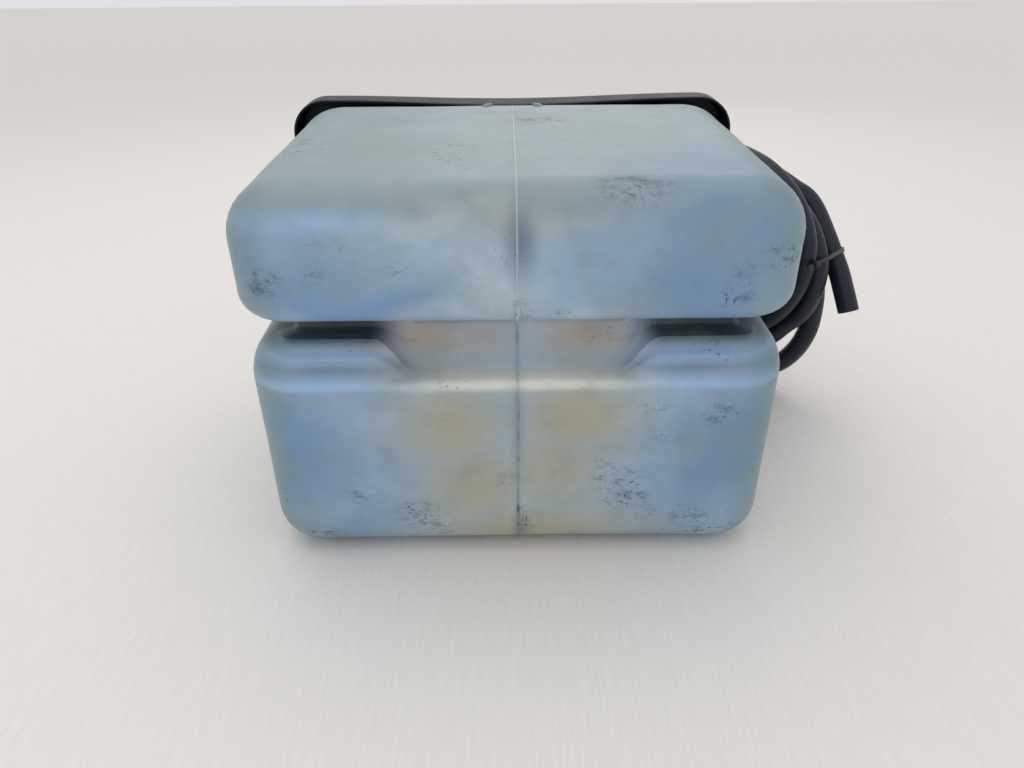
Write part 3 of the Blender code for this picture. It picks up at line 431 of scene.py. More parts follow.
def spotField(tree, vector, spots):
    total = None
    for place, size, strength in spots:
        mask = placed(tree, softSpot, {"Vector": vector, "Place": place, "Size": size}).outputs[0]
        mask = combine(tree, "MULTIPLY", mask, strength)
        total = mask if total is None else combine(tree, "MAXIMUM", total, mask)
    return total


def makeTankPlastic():
    material, tree, shader = newMaterial("agedPolyethylene", 0.40, specular=0.42, subsurface=0.22)
    shader.inputs["Subsurface Radius"].default_value = (1.0, 1.1, 1.2)
    place = vesselPlace(tree)
    warp = put(tree, "ShaderNodeTexNoise", {"Vector": place, "Scale": 14.0, "Detail": 2.0}).outputs["Color"]
    warp = put(tree, "ShaderNodeVectorMath", {0: warp, 1: (0.5, 0.5, 0.5)}, operation="SUBTRACT").outputs[0]
    warp = put(tree, "ShaderNodeVectorMath", {0: warp, 3: 0.075}, operation="SCALE").outputs[0]
    wavy = put(tree, "ShaderNodeVectorMath", {0: place, 1: warp}, operation="ADD").outputs[0]
    axes = put(tree, "ShaderNodeSeparateXYZ", {0: place}).outputs
    outward = put(tree, "ShaderNodeMath", {0: axes[0]}, operation="ABSOLUTE").outputs[0]

    height = ramped(tree, axes[2], 0.208, 0.237)
    body = mixed(tree, height, tankLook["front"], tankLook["top"])
    # painted highlights: pale patches on the upper lobe
    body = mixed(tree, spotField(tree, wavy, tankLook["paleLightSpots"]), body, tankLook["paleEdge"])
    body = mixed(tree, spotField(tree, wavy, tankLook["blueSpots"]), body, tankLook["blue"])
    body = mixed(tree, spotField(tree, wavy, tankLook["deepSpots"]), body, tankLook["deepBlue"])
    body = mixed(tree, spotField(tree, place, tankLook["creamSpots"]), body, tankLook["cream"])
    body = mixed(tree, spotField(tree, wavy, tankLook["topStains"]), body, tankLook["topStain"])
    # painted light: the pink glow through the web
    body = mixed(tree, spotField(tree, place, tankLook["pinkGlowSpots"]), body, tankLook["pink"])
    # painted shade: the tank darker and greener towards its sides
    rim = combine(tree, "MULTIPLY", ramped(tree, outward, 0.120, 0.158), 0.62)
    body = mixed(tree, rim, body, tankLook["rim"])
    # deep in the waist, away from the web, little light gets through
    under = combine(tree, "MULTIPLY", ramped(tree, axes[2], 0.1425, 0.151),
                    ramped(tree, axes[2], 0.1648, 0.1632))
    aside = ramped(tree, outward, 0.066, 0.086)
    inside = ramped(tree, axes[1], 0.008, 0.016)
    shade = combine(tree, "MULTIPLY", combine(tree, "MULTIPLY", under, aside), inside)
    shade = combine(tree, "MAXIMUM", shade, spotField(tree, place, tankLook["shadeSpots"]))
    body = mixed(tree, shade, body, tankLook["shade"])
    body = mixed(tree, spotField(tree, place, tankLook["bandSpots"]), body, tankLook["paleEdge"])
    body = mixed(tree, spotField(tree, place, tankLook["sheenSpots"]), body, tankLook["sheen"])
    oval = spotField(tree, place, [((0.002, -0.002, 0.214), (0.013, 0.05, 0.034), 0.8),
                                   ((0.0, -0.002, 0.100), (0.008, 0.05, 0.06), 0.30),
                                   ((0.002, -0.002, 0.022), (0.010, 0.05, 0.022), 0.5)])
    body = mixed(tree, oval, body, tankLook["seam"])
    mottle = noiseField(tree, place, 55.0, 5.0, 0.6)
    body = mixed(tree, combine(tree, "MULTIPLY", ramped(tree, mottle, 0.45, 0.75), 0.16), body,
                 tankLook["rim"])
    clouds = noiseField(tree, place, 21.0, 6.0, 0.62, (1.0, 1.0, 1.5))
    body = mixed(tree, combine(tree, "MULTIPLY", ramped(tree, clouds, 0.46, 0.70), 0.42), body,
                 tankLook["topStain"])

    zones = spotField(tree, place, tankLook["dirtSpots"])
    smear = ramped(tree, noiseField(tree, place, 140.0, 7.0, 0.74, (0.6, 1.0, 1.25)), 0.46, 0.66)
    specks = ramped(tree, noiseField(tree, place, 430.0, 3.0, 0.6, (0.7, 1.0, 1.2)), 0.60, 0.68)
    streaks = ramped(tree, noiseField(tree, place, 260.0, 4.0, 0.65, (1.6, 1.0, 0.35)), 0.60, 0.70)
    marks = combine(tree, "MAXIMUM", combine(tree, "MULTIPLY", smear, 0.62),
                    combine(tree, "MAXIMUM", specks, streaks))
    inZone = combine(tree, "MULTIPLY", ramped(tree, zones, 0.02, 0.75), marks)
    scatter = ramped(tree, noiseField(tree, place, 17.0, 2.0), 0.55, 0.72)
    strewn = combine(tree, "MULTIPLY", combine(tree, "MULTIPLY", scatter, specks), 0.8)
    film = ramped(tree, noiseField(tree, place, 9.0, 5.0, 0.65, (1.0, 1.0, 2.4)), 0.56, 0.80)
    dirt = combine(tree, "MAXIMUM", combine(tree, "MAXIMUM", inZone, strewn),
                   combine(tree, "MULTIPLY", film, 0.16))
    seamNear = ramped(tree, outward, 0.0016, 0.0004)
    seamBreaks = ramped(tree, noiseField(tree, place, 260.0, 4.0, 0.6, (1.0, 1.0, 0.35)), 0.44, 0.60)
    seamLow = combine(tree, "MAXIMUM", ramped(tree, axes[2], 0.070, 0.045),
                      combine(tree, "MULTIPLY", ramped(tree, axes[2], 0.180, 0.160), 0.35))
    seamDirt = combine(tree, "MULTIPLY", combine(tree, "MULTIPLY", seamNear, seamBreaks), seamLow)
    dirt = combine(tree, "MAXIMUM", dirt, combine(tree, "MULTIPLY", seamDirt, 0.85))
    ridge = combine(tree, "MULTIPLY", ramped(tree, outward, 0.0008, 0.0004),
                    ramped(tree, axes[2], 0.150, 0.175))
    body = mixed(tree, combine(tree, "MULTIPLY", ridge, 0.7), body, tankLook["flash"])
    body = mixed(tree, combine(tree, "MULTIPLY", dirt, 0.88), body, tankLook["grime"])
    tree.links.new(body, shader.inputs["Base Color"])

    grain = placed(tree, fineGrain, {"Vector": place, "Scale": 1400.0, "Scratches": 0.6}).outputs
    rough = put(tree, "ShaderNodeMapRange", {0: grain[1], 1: 0.2, 2: 0.9, 3: 0.34, 4: 0.52}).outputs[0]
    tree.links.new(combine(tree, "ADD", rough, combine(tree, "MULTIPLY", dirt, 0.3)),
                   shader.inputs["Roughness"])
    orangePeel = noiseField(tree, place, 150.0, 2.0)
    surface = combine(tree, "ADD", combine(tree, "MULTIPLY", grain[0], 0.10), orangePeel)
    bump = put(tree, "ShaderNodeBump", {"Height": surface, "Strength": 0.10, "Distance": 0.0008})
    tree.links.new(bump.outputs[0], shader.inputs["Normal"])
    return material


def makeMoulded(name, base, worn, roughness, grainScale, dust, scratches=0.3, specular=0.5):
    # hard dark mouldings and rubber: base colour, scuffed colour, grain and a little dust
    material, tree, shader = newMaterial(name, roughness, specular=specular)
    place = put(tree, "ShaderNodeTexCoord").outputs["Object"]
    grain = placed(tree, fineGrain, {"Vector": place, "Scale": grainScale, "Scratches": scratches}).outputs
    lying = placed(tree, lyingDust, {"Vector": place, "Amount": dust}).outputs[0]
    scuffs = ramped(tree, noiseField(tree, place, 75.0, 6.0, 0.72, (1.0, 0.6, 1.7)), 0.56, 0.78)
    body = mixed(tree, combine(tree, "MULTIPLY", scuffs, 0.55), base, worn)
    body = mixed(tree, lying, body, colour(150, 148, 142))
    tree.links.new(body, shader.inputs["Base Color"])
    rough = put(tree, "ShaderNodeMapRange", {0: grain[1], 1: 0.2, 2: 0.9, 3: roughness - 0.07,
                                             4: roughness + 0.10})
    tree.links.new(combine(tree, "ADD", rough.outputs[0], combine(tree, "MULTIPLY", lying, 0.4)),
                   shader.inputs["Roughness"])
    bump = put(tree, "ShaderNodeBump", {"Height": grain[0], "Strength": 0.22, "Distance": 0.0003})
    tree.links.new(bump.outputs[0], shader.inputs["Normal"])
    return material


def makeMetal(name, base, tarnish, roughness, stretch):
    # brushed or turned metal with a little tarnish
    material, tree, shader = newMaterial(name, roughness, metallic=1.0)
    place = put(tree, "ShaderNodeTexCoord").outputs["Object"]
    patches = ramped(tree, noiseField(tree, place, 240.0, 5.0, 0.65), 0.48, 0.75)
    tree.links.new(mixed(tree, combine(tree, "MULTIPLY", patches, 0.7), base, tarnish),
                   shader.inputs["Base Color"])
    brushed = noiseField(tree, place, 700.0, 3.0, 0.6, stretch)
    rough = put(tree, "ShaderNodeMapRange", {0: brushed, 1: 0.3, 2: 0.7, 3: roughness - 0.08,
                                             4: roughness + 0.12})
    tree.links.new(combine(tree, "ADD", rough.outputs[0], combine(tree, "MULTIPLY", patches, 0.12)),
                   shader.inputs["Roughness"])
    bump = put(tree, "ShaderNodeBump", {"Height": brushed, "Strength": 0.15, "Distance": 0.0002})
    tree.links.new(bump.outputs[0], shader.inputs["Normal"])
    return material


tankPlastic = makeTankPlastic()
coverPlastic = makeMoulded("blackPolypropylene", colour(12, 15, 22), colour(36, 39, 44), 0.46, 1500.0, 0.05,
                           specular=0.22)
capPlastic = makeMoulded("blackNylon", colour(26, 26, 28), colour(58, 58, 60), 0.40, 1900.0, 0.10)
hoseRubber = makeMoulded("hoseRubber", colour(19, 27, 41), colour(42, 51, 66), 0.44, 1100.0, 0.05, 0.5,
                         specular=0.38)
boreRubber = makeMoulded("innerRubber", colour(8, 9, 12), colour(18, 19, 22), 0.75, 1100.0, 0.0)
sealRubber = makeMoulded("sealRubber", colour(24, 24, 25), colour(44, 44, 45), 0.70, 1500.0, 0.05)
tiePlastic = makeMoulded("tieNylon", colour(26, 29, 36), colour(58, 62, 70), 0.36, 2200.0, 0.10)
floatFoam = makeMoulded("closedCellFoam", colour(214, 210, 196), colour(186, 178, 156), 0.80, 1300.0, 0.0)
zincSteel = makeMetal("zincSteel", colour(196, 198, 200), colour(140, 138, 130), 0.34, (1.0, 1.0, 1.0))
springSteel = makeMetal("springSteel", colour(184, 186, 190), colour(120, 118, 114), 0.28, (8.0, 1.0, 1.0))
turnedBrass = makeMetal("turnedBrass", colour(206, 172, 104), colour(140, 104, 60), 0.32, (1.0, 9.0, 1.0))
print("materials made")

# ---- tank
tankSize = {"width": 0.315, "height": 0.239, "depth": 0.228, "corner": 0.030, "bottomEdge": 0.028,
            "topEdge": 0.030,
            "wall": 0.003, "cornerSteps": 12, "frontSteps": 56, "sideSteps": 22, "rearSteps": 40,
            "webHalf": 0.060, "webBlend": 0.024, "rearShare": 0.35, "bottomArch": 0.0018, "crown": 0.0009,
            "faceSink": 0.0012, "waves": 0.00035}
waist = {"under": 0.1638, "lip": 0.015, "edge": 0.1240, "depth": 0.0285, "webDepth": 0.020}


def outlineSamples():
    # (point on the outline, outward direction, share of the web, share of the plain side, share behind)
    half, deep, corner = tankSize["width"] / 2, tankSize["depth"], tankSize["corner"]
    samples = []
    for k in range(1, tankSize["frontSteps"]):
        x = -(half - corner) + 2 * (half - corner) * k / tankSize["frontSteps"]
        web = 1.0 - blendIn(abs(x), tankSize["webHalf"], tankSize["webHalf"] + tankSize["webBlend"])
        samples.append((Vector((x, 0.0)), Vector((0.0, -1.0)), web, 0.0, 1.0))
    corners = [(half - corner, corner, -90), (half - corner, deep - corner, 0),
               (corner - half, deep - corner, 90), (corner - half, corner, 180)]
    for number, (x, y, start) in enumerate(corners):
        for k in range(tankSize["cornerSteps"] + 1):
            turn = k / tankSize["cornerSteps"]
            angle = math.radians(start + 90 * turn)
            out = Vector((math.cos(angle), math.sin(angle)))
            side = (blendIn(turn, 0.2, 1.0), 1.0, 1.0, blendIn(turn, 0.8, 0.0))[number]
            rear = (1.0, 1.0 - (1 - tankSize["rearShare"]) * turn,
                    tankSize["rearShare"] + (1 - tankSize["rearShare"]) * turn, 1.0)[number]
            samples.append((Vector((x, y)) + out * corner, out, 0.0, side, rear))
        if number == 3:
            continue
        steps = tankSize["rearSteps"] if number == 1 else tankSize["sideSteps"]
        share = tankSize["rearShare"] if number == 1 else 1.0
        for k in range(1, steps):
            along = k / steps
            if number == 1:
                point, out = Vector(((half - corner) * (1 - 2 * along), deep)), Vector((0.0, 1.0))
            else:
                way = 1 if number == 0 else -1
                level = deep / 2 + way * (deep / 2 - corner) * (2 * along - 1)
                point, out = Vector((way * half, level)), Vector((way, 0.0))
            samples.append((point, out, 0.0, 1.0, share))
    return samples


def waistProfiles():
    # three runs of (inset, height) with the same count: over the web, in the pockets, round the sides
    under, lip, edge, deep, web = (waist[key] for key in ("under", "lip", "edge", "depth", "webDepth"))
    top = arc(deep - 0.003, under - 0.003, 0.003, 0, 90, 4) + line((deep - 0.003, under), (lip, under),
                                                                   3)[:-1] \
        + arc(lip, under + lip, lip, -90, -180, 9)
    webTop = arc(web - 0.006, under - 0.006, 0.006, 0, 90, 4) + line((web - 0.006, under), (lip, under),
                                                                     3)[:-1] \
        + arc(lip, under + lip, lip, -90, -180, 9)
    webRun = arc(0.0055, edge, 0.0055, 180, 90, 8) + line((0.0055, edge + 0.0055),
                                                          (web - 0.006, edge + 0.0060), 15) \
        + arc(web - 0.006, edge + 0.012, 0.006, -90, 0, 4) + line((web, edge + 0.012), (web, under - 0.006),
                                                                  3)[:-1]
    ridge, shelf = (0.0098, edge + 0.0170), (0.0152, edge + 0.0268)
    pocketRun = arc(0.0075, edge + 0.0005, 0.0075, 180, 128, 8)
    for k, (x, z) in enumerate(line(pocketRun[-1], ridge, 7)):
        pocketRun.append((x + 0.0006 * math.sin(math.pi * (k + 1) / 7),
                          z - 0.0004 * math.sin(math.pi * (k + 1) / 7)))
    for k, (x, z) in enumerate(line(ridge, shelf, 8)):
        pocketRun.append((x + 0.0018 * math.sin(math.pi * (k + 1) / 8),
                          z - 0.0009 * math.sin(math.pi * (k + 1) / 8)))
    pocketRun += [(x, z) for x, z in line(shelf, (deep - 0.002, shelf[1] + 0.0008), 4)]
    pocketRun += [(deep - 0.0005, shelf[1] + 0.0015)] + line((deep, shelf[1] + 0.003),
                                                             (deep, under - 0.003), 3)[:-1]
    sideRun = [(0.018 * (1 - math.cos(math.radians(angle))), edge + 0.026 * math.sin(math.radians(angle)))
               for angle in [90 * k / 23 for k in range(24)]]
    sideRun += line(sideRun[-1], (deep - 0.002, sideRun[-1][1] + 0.0006), 4) \
        + [(deep - 0.0005, sideRun[-1][1] + 0.0015)] + line((deep, shelf[1] + 0.003), (deep, under - 0.003),
                                                            3)[:-1]
    return webRun + webTop, pocketRun + top, sideRun + top


def tankRing(samples, web, pocket, side):
    half, middle = tankSize["width"] / 2, tankSize["depth"] / 2
    ring = []
    for point, out, webShare, sideShare, rearShare in samples:
        front = [a + (b - a) * webShare for a, b in zip(pocket, web)]
        inset, height = [a + (b - a) * sideShare for a, b in zip(front, side)]
        inset *= rearShare
        # most of the way straight in, the rest by shrinking, so the corners never fold
        place = point - out * inset * 0.8
        x = place.x * (half - inset) / (half - inset * 0.8)
        y = middle + (place.y - middle) * (middle - inset) / (middle - inset * 0.8)
        ring.append(Vector((x, y, height)))
    return ring


def shrunken(ring, share):
    middle = tankSize["depth"] / 2
    return [Vector((point.x * share, middle + (point.y - middle) * share, point.z)) for point in ring]


def tankShape(point):
    # slight arching, sinks and waves of a blow-moulded wall
    half = tankSize["width"] / 2
    across = 1.0 - min(abs(point.x) / half, 1.0) ** 2
    deep = 1.0 - min(abs(point.y / tankSize["depth"] * 2 - 1), 1.0) ** 2
    low = blendIn(point.z, 0.045, 0.0)
    point.z += tankSize["bottomArch"] * across * low
    point.z += tankSize["crown"] * across * deep * blendIn(point.z, 0.22, 0.239)
    front = blendIn(point.y, 0.012, 0.0)
    lower = blendIn(abs(point.z - 0.065), 0.062, 0.0)
    upper = blendIn(abs(point.z - 0.198), 0.036, 0.0)
    point.y += tankSize["faceSink"] * front * across * (lower + 0.5 * upper)
    sideways = blendIn(abs(point.x), half - 0.012, half)
    point.x -= math.copysign(tankSize["faceSink"], point.x) * sideways * deep * (lower + 0.5 * upper)
    sway = noise.noise_vector(point * 22.0)
    return point + sway * tankSize["waves"]


def makeTank():
    samples = outlineSamples()
    bottomEdge, topEdge, height = tankSize["bottomEdge"], tankSize["topEdge"], tankSize["height"]
    web, pocket, side = waistProfiles()
    rows = arc(bottomEdge, bottomEdge, bottomEdge, -90, -180, 9)
    rows += line((0.0, bottomEdge), (0.0, waist["edge"]), 12)[:-1]
    rings = [tankRing(samples, row, row, row) for row in rows]
    rings += [tankRing(samples, *three) for three in zip(web, pocket, side)]
    rows = line((0.0, waist["under"] + waist["lip"]), (0.0, height - topEdge), 5)[:-1]
    rows += arc(topEdge, height - topEdge, topEdge, 180, 90, 10)
    rings += [tankRing(samples, row, row, row) for row in rows]
    shares = [0.97 - 0.93 * k / 11 for k in range(12)]
    rings = [shrunken(rings[0], share) for share in reversed(shares)] + rings \
        + [shrunken(rings[-1], share) for share in shares]
    rings = [[tankShape(point) for point in ring] for ring in rings]
    tank = meshPiece("tankBody", skin(rings), tankPlastic, vessel, 50.0)
    wall = tank.modifiers.new("wall", "SOLIDIFY")
    wall.thickness, wall.offset = tankSize["wall"], -1.0
    return tank


stubs = {"neck": (0.0, 0.085, 0.0235, 0.0195, fit["neckDepth"]),
         "sender": (-0.090, 0.085, 0.0240, 0.0165, 0.259),
         "outlet": (0.030, 0.195, 0.0125, 0.0068, 0.259)}
screwRows = {"fromMiddle": 0.0765, "apart": 0.125}
screwSpots = [(x, tankSize["height"] / 2 + side * screwRows["fromMiddle"])
              for side in (-1, 1) for x in (-screwRows["apart"], 0.0, screwRows["apart"])]


def openTank(tank):
    # bores through the rear wall, then the stubs and screw bosses that stand on it
    bores = bmesh.new()
    for x, height, outer, bore, top in stubs.values():
        bmesh.ops.create_cone(bores, cap_ends=True, segments=96, radius1=bore, radius2=bore, depth=0.030,
                              matrix=alongDepth(x, tankSize["depth"] - 0.005, height))
    cutter = meshPiece("bores", bores, tankPlastic)
    change = tank.modifiers.new("bores", "BOOLEAN")
    change.operation, change.solver, change.object = "DIFFERENCE", "EXACT", cutter
    frozen(tank)
    removePiece(cutter)
    bm = bmesh.new()
    bm.from_mesh(tank.data)
    root = tankSize["depth"] - 0.0012
    for x, height, outer, bore, top in stubs.values():
        part = latheMesh(softened(tubeProfile(bore, outer, 0.0, top - root), 0.0007, True), 96, True)
        part.transform(alongDepth(x, root, height))
        joinMesh(bm, part)
    for x, height in screwSpots:
        long = fit["coverBack"] - 0.0024 - root
        part = latheMesh(softened([(0.0, long), (0.0070, long), (0.0078, 0.0), (0.0, 0.0)], 0.0006), 40)
        part.transform(alongDepth(x, root, height))
        joinMesh(bm, part)
    bm.to_mesh(tank.data)
    bm.free()
    tank.data.shade_smooth()
    tank.data.set_sharp_from_angle(angle=math.radians(50))


def joinMesh(bm, part):
    mesh = bpy.data.meshes.new("part")
    bmesh.ops.recalc_face_normals(part, faces=part.faces)
    part.to_mesh(mesh)
    part.free()
    bm.from_mesh(mesh)
    bpy.data.meshes.remove(mesh)


tank = makeTank()
openTank(tank)
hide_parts("tank_shell")
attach(tank, "root")
print("tank made:", len(tank.data.polygons), "faces")

# ---- hose, its coil and the cable tie
hose = {"diameter": 0.016, "bore": 0.0116, "sides": 28, "step": 0.0035, "coilRadius": 0.0855,
        "coilCentre": (0.1891, 0.1216), "yaw": -59.0, "lean": 6.5, "halfSpread": 0.0210,
        "halfThickness": 0.0165,
        "boreDepth": 0.030, "tieAngle": 20.0}
runPoints = [(0.0300, 0.1466, 0.2136), (0.0300, 0.1726, 0.2155), (0.0378, 0.2016, 0.2172),
             (0.0590, 0.2228, 0.2180), (0.0880, 0.2306, 0.2180), (0.1170, 0.2228, 0.2165),
             (0.1377, 0.2025, 0.2125)]
tailPoints = [(0.2570, 0.0600, 0.1320), (0.2620, 0.0480, 0.1130), (0.2660, 0.0410, 0.0975)]
# where each turn lies across the coil's section: angle, millimetres outwards, millimetres towards the vessel
coilTurns = [
    [(121, 29, -8), (90, 20, 4), (60, 25, 11), (45, 24, 11), (30, 18, 11), (15, 6, 11), (0, -8, 11),
     (-15, -19, 11),
     (-30, -27, 11), (-60, -31, 11), (-90, -25, 12), (-120, -16, 17), (-150, -4, 14), (-180, 2, 6)],
    [(135, -1, 0), (90, -4, -5), (75, 2, -5), (60, 6, -5), (45, 10, -5), (30, 11, -5), (15, 8, -5),
     (0, 0, -5),
     (-15, -8, -5), (-30, -16, -5), (-60, -17, -4), (-90, -12, -1), (-120, -15, -1), (-180, -16, -1)],
    [(135, -18, -6), (90, -20, -10), (60, -18, -13), (45, -15, -15), (30, -11, -17), (15, -9, -18),
     (0, -9, -21),
     (-15, -7, -22), (-30, -1, -20), (-60, 8, -16), (-90, 11, -14), (-150, 9, -14), (-180, 6, -16)],
    [(135, 4, -22), (90, 0, -25), (60, -2, -30), (45, -2, -35)],
]


def coilPlace():
    yaw, tilt = math.radians(hose["yaw"]), math.radians(hose["lean"])
    across = Vector((math.cos(yaw), math.sin(yaw), 0.0))
    towards = Vector((math.sin(yaw), -math.cos(yaw), 0.0))
    upward = Vector((0.0, 0.0, 1.0)) * math.cos(tilt) + towards * math.sin(tilt)
    reach = math.hypot(hose["halfSpread"] * math.cos(tilt), hose["halfThickness"] * math.sin(tilt))
    height = hose["coilRadius"] * math.cos(tilt) + reach + 0.0004
    turn = Matrix((across, upward, across.cross(upward))).transposed().to_4x4()
    return Matrix.Translation((*hose["coilCentre"], height)) @ turn


def coilPoint(angle, outwards, towards):
    radius = hose["coilRadius"] + outwards / 1000
    spot = Vector((radius * math.cos(math.radians(angle)), radius * math.sin(math.radians(angle)),
                   towards / 1000))
    return coilPlace() @ spot


def passing(first, second, third, fourth, share):
    # Catmull-Rom between the second and third values
    return 0.5 * (2 * second + (third - first) * share
                  + (2 * first - 5 * second + 4 * third - fourth) * share ** 2
                  + (3 * second - first - 3 * third + fourth) * share ** 3)


def through(values, share):
    # a smooth run through the values, share counted in whole steps
    step = min(int(share), len(values) - 2)
    four = [values[min(max(step + k, 0), len(values) - 1)] for k in (-1, 0, 1, 2)]
    return passing(*four, share - step)


def coilRoute():
    knots = [(angle - 360 * number, out, side) for number, turn in enumerate(coilTurns)
             for angle, out, side in turn]
    points = []
    angle = knots[0][0] - 14
    while angle > knots[-1][0]:
        step = max(k for k in range(len(knots) - 1) if knots[k][0] >= angle)
        share = step + (knots[step][0] - angle) / (knots[step][0] - knots[step + 1][0])
        points.append(coilPoint(angle, through([knot[1] for knot in knots], share),
                                through([knot[2] for knot in knots], share)))
        angle -= 15
    return points


def hoseLine():
    # evenly spaced points along the whole hose
    route = [Vector(point) for point in runPoints] + coilRoute() + [Vector(point) for point in tailPoints]
    fine = [through(route, k / 12) for k in range((len(route) - 1) * 12 + 1)]
    floor = hose["diameter"] / 2 + 0.0003
    for point in fine:
        point.z = max(point.z, floor)
    result, left = [fine[0]], hose["step"]
    for before, after in zip(fine, fine[1:]):
        long = (after - before).length
        while left <= long:
            result.append(before.lerp(after, left / long))
            left += hose["step"]
        left -= long
    return result


def tubeRings(points, radius, sides):
    # rings that stay untwisted along the line
    rings = []
    normal = (points[1] - points[0]).orthogonal().normalized()
    for index, point in enumerate(points):
        ahead = (points[min(index + 1, len(points) - 1)] - points[max(index - 1, 0)]).normalized()
        normal = (normal - ahead * normal.dot(ahead)).normalized()
        other = ahead.cross(normal)
        rings.append([point + (normal * math.cos(math.tau * k / sides)
                               + other * math.sin(math.tau * k / sides)) * radius for k in range(sides)])
    return rings


def makeHose():
    points = hoseLine()
    radius, bore, sides = hose["diameter"] / 2, hose["bore"] / 2, hose["sides"]
    outer = tubeRings(points, radius, sides)
    inner = tubeRings(points, bore, sides)
    lip = tubeRings(points, radius - 0.0005, sides)
    rim = tubeRings(points, bore + 0.0004, sides)
    back = int(hose["boreDepth"] / hose["step"])
    end = (points[-1] - points[-2]).normalized() * 0.0004
    shifted = [[point + end for point in ring] for ring in (lip[-1], rim[-1])]
    rings = outer + shifted + list(reversed(inner[-back:]))
    bm = skin(rings)
    piece = meshPiece("coiledHose", bm, hoseRubber, sharp=60.0)
    piece.data.materials.append(boreRubber)
    firstInner = (len(outer) + 2) * sides
    for face in piece.data.polygons:
        if min(face.vertices) >= firstInner:
            face.material_index = 1
    return piece, points


def strandHull(points, place, radius, steps=64):
    # the outline of a band pulled round the strands that cross a plane, in that plane's own axes
    inverse = place.inverted()
    centres = []
    for before, after in zip(points, points[1:]):
        first, second = inverse @ before, inverse @ after
        if (first.z <= 0) != (second.z <= 0) and abs(first.x) < 0.05 and abs(first.y) < 0.05:
            spot = first.lerp(second, first.z / (first.z - second.z))
            centres.append(Vector((spot.x, spot.y)))
    outline = []
    for k in range(steps):
        out = Vector((math.cos(math.tau * k / steps), math.sin(math.tau * k / steps)))
        outline.append((out, max(centre.dot(out) for centre in centres) + radius))
    hull = []
    for (out, reach), (nextOut, nextReach) in zip(outline, outline[1:] + outline[:1]):
        turn = out.x * nextOut.y - out.y * nextOut.x
        hull.append(Vector(((reach * nextOut.y - nextReach * out.y) / turn,
                            (nextReach * out.x - reach * nextOut.x) / turn)))
    return hull


tie = {"width": 0.0036, "band": 0.0012, "head": (0.0058, 0.0056, 0.0046), "tail": 0.0075}


def makeTie(points):
    spot = Vector((hose["coilRadius"], 0.0, 0.0))
    place = coilPlace() @ Matrix.Rotation(math.radians(hose["tieAngle"]), 4, "Z") @ Matrix.Translation(spot)
    place = place @ Matrix.Rotation(math.pi / 2, 4, "X")
    strands = [point for point in points if (place.inverted() @ point).length < 0.06]
    inner = strandHull(strands, place, hose["diameter"] / 2 + 0.0002)
    outer = strandHull(strands, place, hose["diameter"] / 2 + 0.0002 + tie["band"])
    half, soft = tie["width"] / 2, 0.0003
    section = [(inner, -half), (outer, -half + soft), (outer, half - soft), (inner, half)]
    rings = [[(line[k].x, line[k].y, z) for line, z in section] for k in range(len(inner))]
    bm = skin(rings + rings[:1], False, False)
    bmesh.ops.remove_doubles(bm, verts=bm.verts, dist=1e-7)
    reach = max(outer, key=lambda point: point.x)
    head = bmesh.new()
    bmesh.ops.create_cube(head, size=1.0, matrix=Matrix.Diagonal((*tie["head"], 1.0)))
    bmesh.ops.bevel(head, geom=head.edges[:] + head.verts[:], offset=0.0007, segments=3, affect="EDGES")
    head.transform(Matrix.Translation((reach.x + tie["head"][0] / 2 - 0.0006, reach.y, 0.0)))
    joinMesh(bm, head)
    stub = bmesh.new()
    bmesh.ops.create_cube(stub, size=1.0, matrix=Matrix.Diagonal((tie["band"], tie["tail"],
                                                                  tie["width"] - 0.0006, 1.0)))
    bmesh.ops.bevel(stub, geom=stub.edges[:] + stub.verts[:], offset=0.0003, segments=2, affect="EDGES")
    stub.transform(Matrix.Translation((reach.x + tie["head"][0] / 2, reach.y + tie["tail"] / 2 + 0.002, 0.0)))
    joinMesh(bm, stub)
    return meshPiece("coilTie", bm, tiePlastic, place)


coiledHose, hosePoints = makeHose()
coilTie = makeTie(hosePoints)
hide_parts("hose_run", "hose_coil", "hose_tail")
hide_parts("cable_tie")
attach(coiledHose, "root")
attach(coilTie, "root")
hoseLength = sum((b - a).length for a, b in zip(hosePoints, hosePoints[1:]))
print("hose made:", round(hoseLength, 3), "m")


# ---- geometry node trees
def newTree(name, inputs):
    tree = bpy.data.node_groups.new(name, "GeometryNodeTree")
    for label, kind in inputs:
        tree.interface.new_socket(name=label, in_out="INPUT", socket_type=kind)
    tree.interface.new_socket(name="Geometry", in_out="OUTPUT", socket_type="NodeSocketGeometry")
    return tree, tree.nodes.new("NodeGroupInput").outputs, tree.nodes.new("NodeGroupOutput").inputs[0]


def finishTree(tree, geometry, materialSocket, output):
    # instances made real and given their material
    real = put(tree, "GeometryNodeRealizeInstances", {0: geometry}).outputs[0]
    smooth = put(tree, "GeometryNodeSetShadeSmooth", {"Geometry": real}).outputs[0]
    done = put(tree, "GeometryNodeSetMaterial", {"Geometry": smooth, "Material": materialSocket}).outputs[0]
    tree.links.new(done, output)


def grown(name, tree, values, place=None, sharp=40.0):
    # a new piece from a tree and its inputs' values, as a plain mesh in its place
    piece = newObject(name, bpy.data.meshes.new(name))
    change = piece.modifiers.new("grow", "NODES")
    change.node_group = tree
    sockets = {item.name: item.identifier for item in tree.interface.items_tree if item.in_out == "INPUT"}
    for label, value in values.items():
        change[sockets[label]] = value
    frozen(piece)
    if place is not None:
        piece.data.transform(place)
    piece.data.shade_smooth()
    piece.data.set_sharp_from_angle(angle=math.radians(sharp))
    return piece


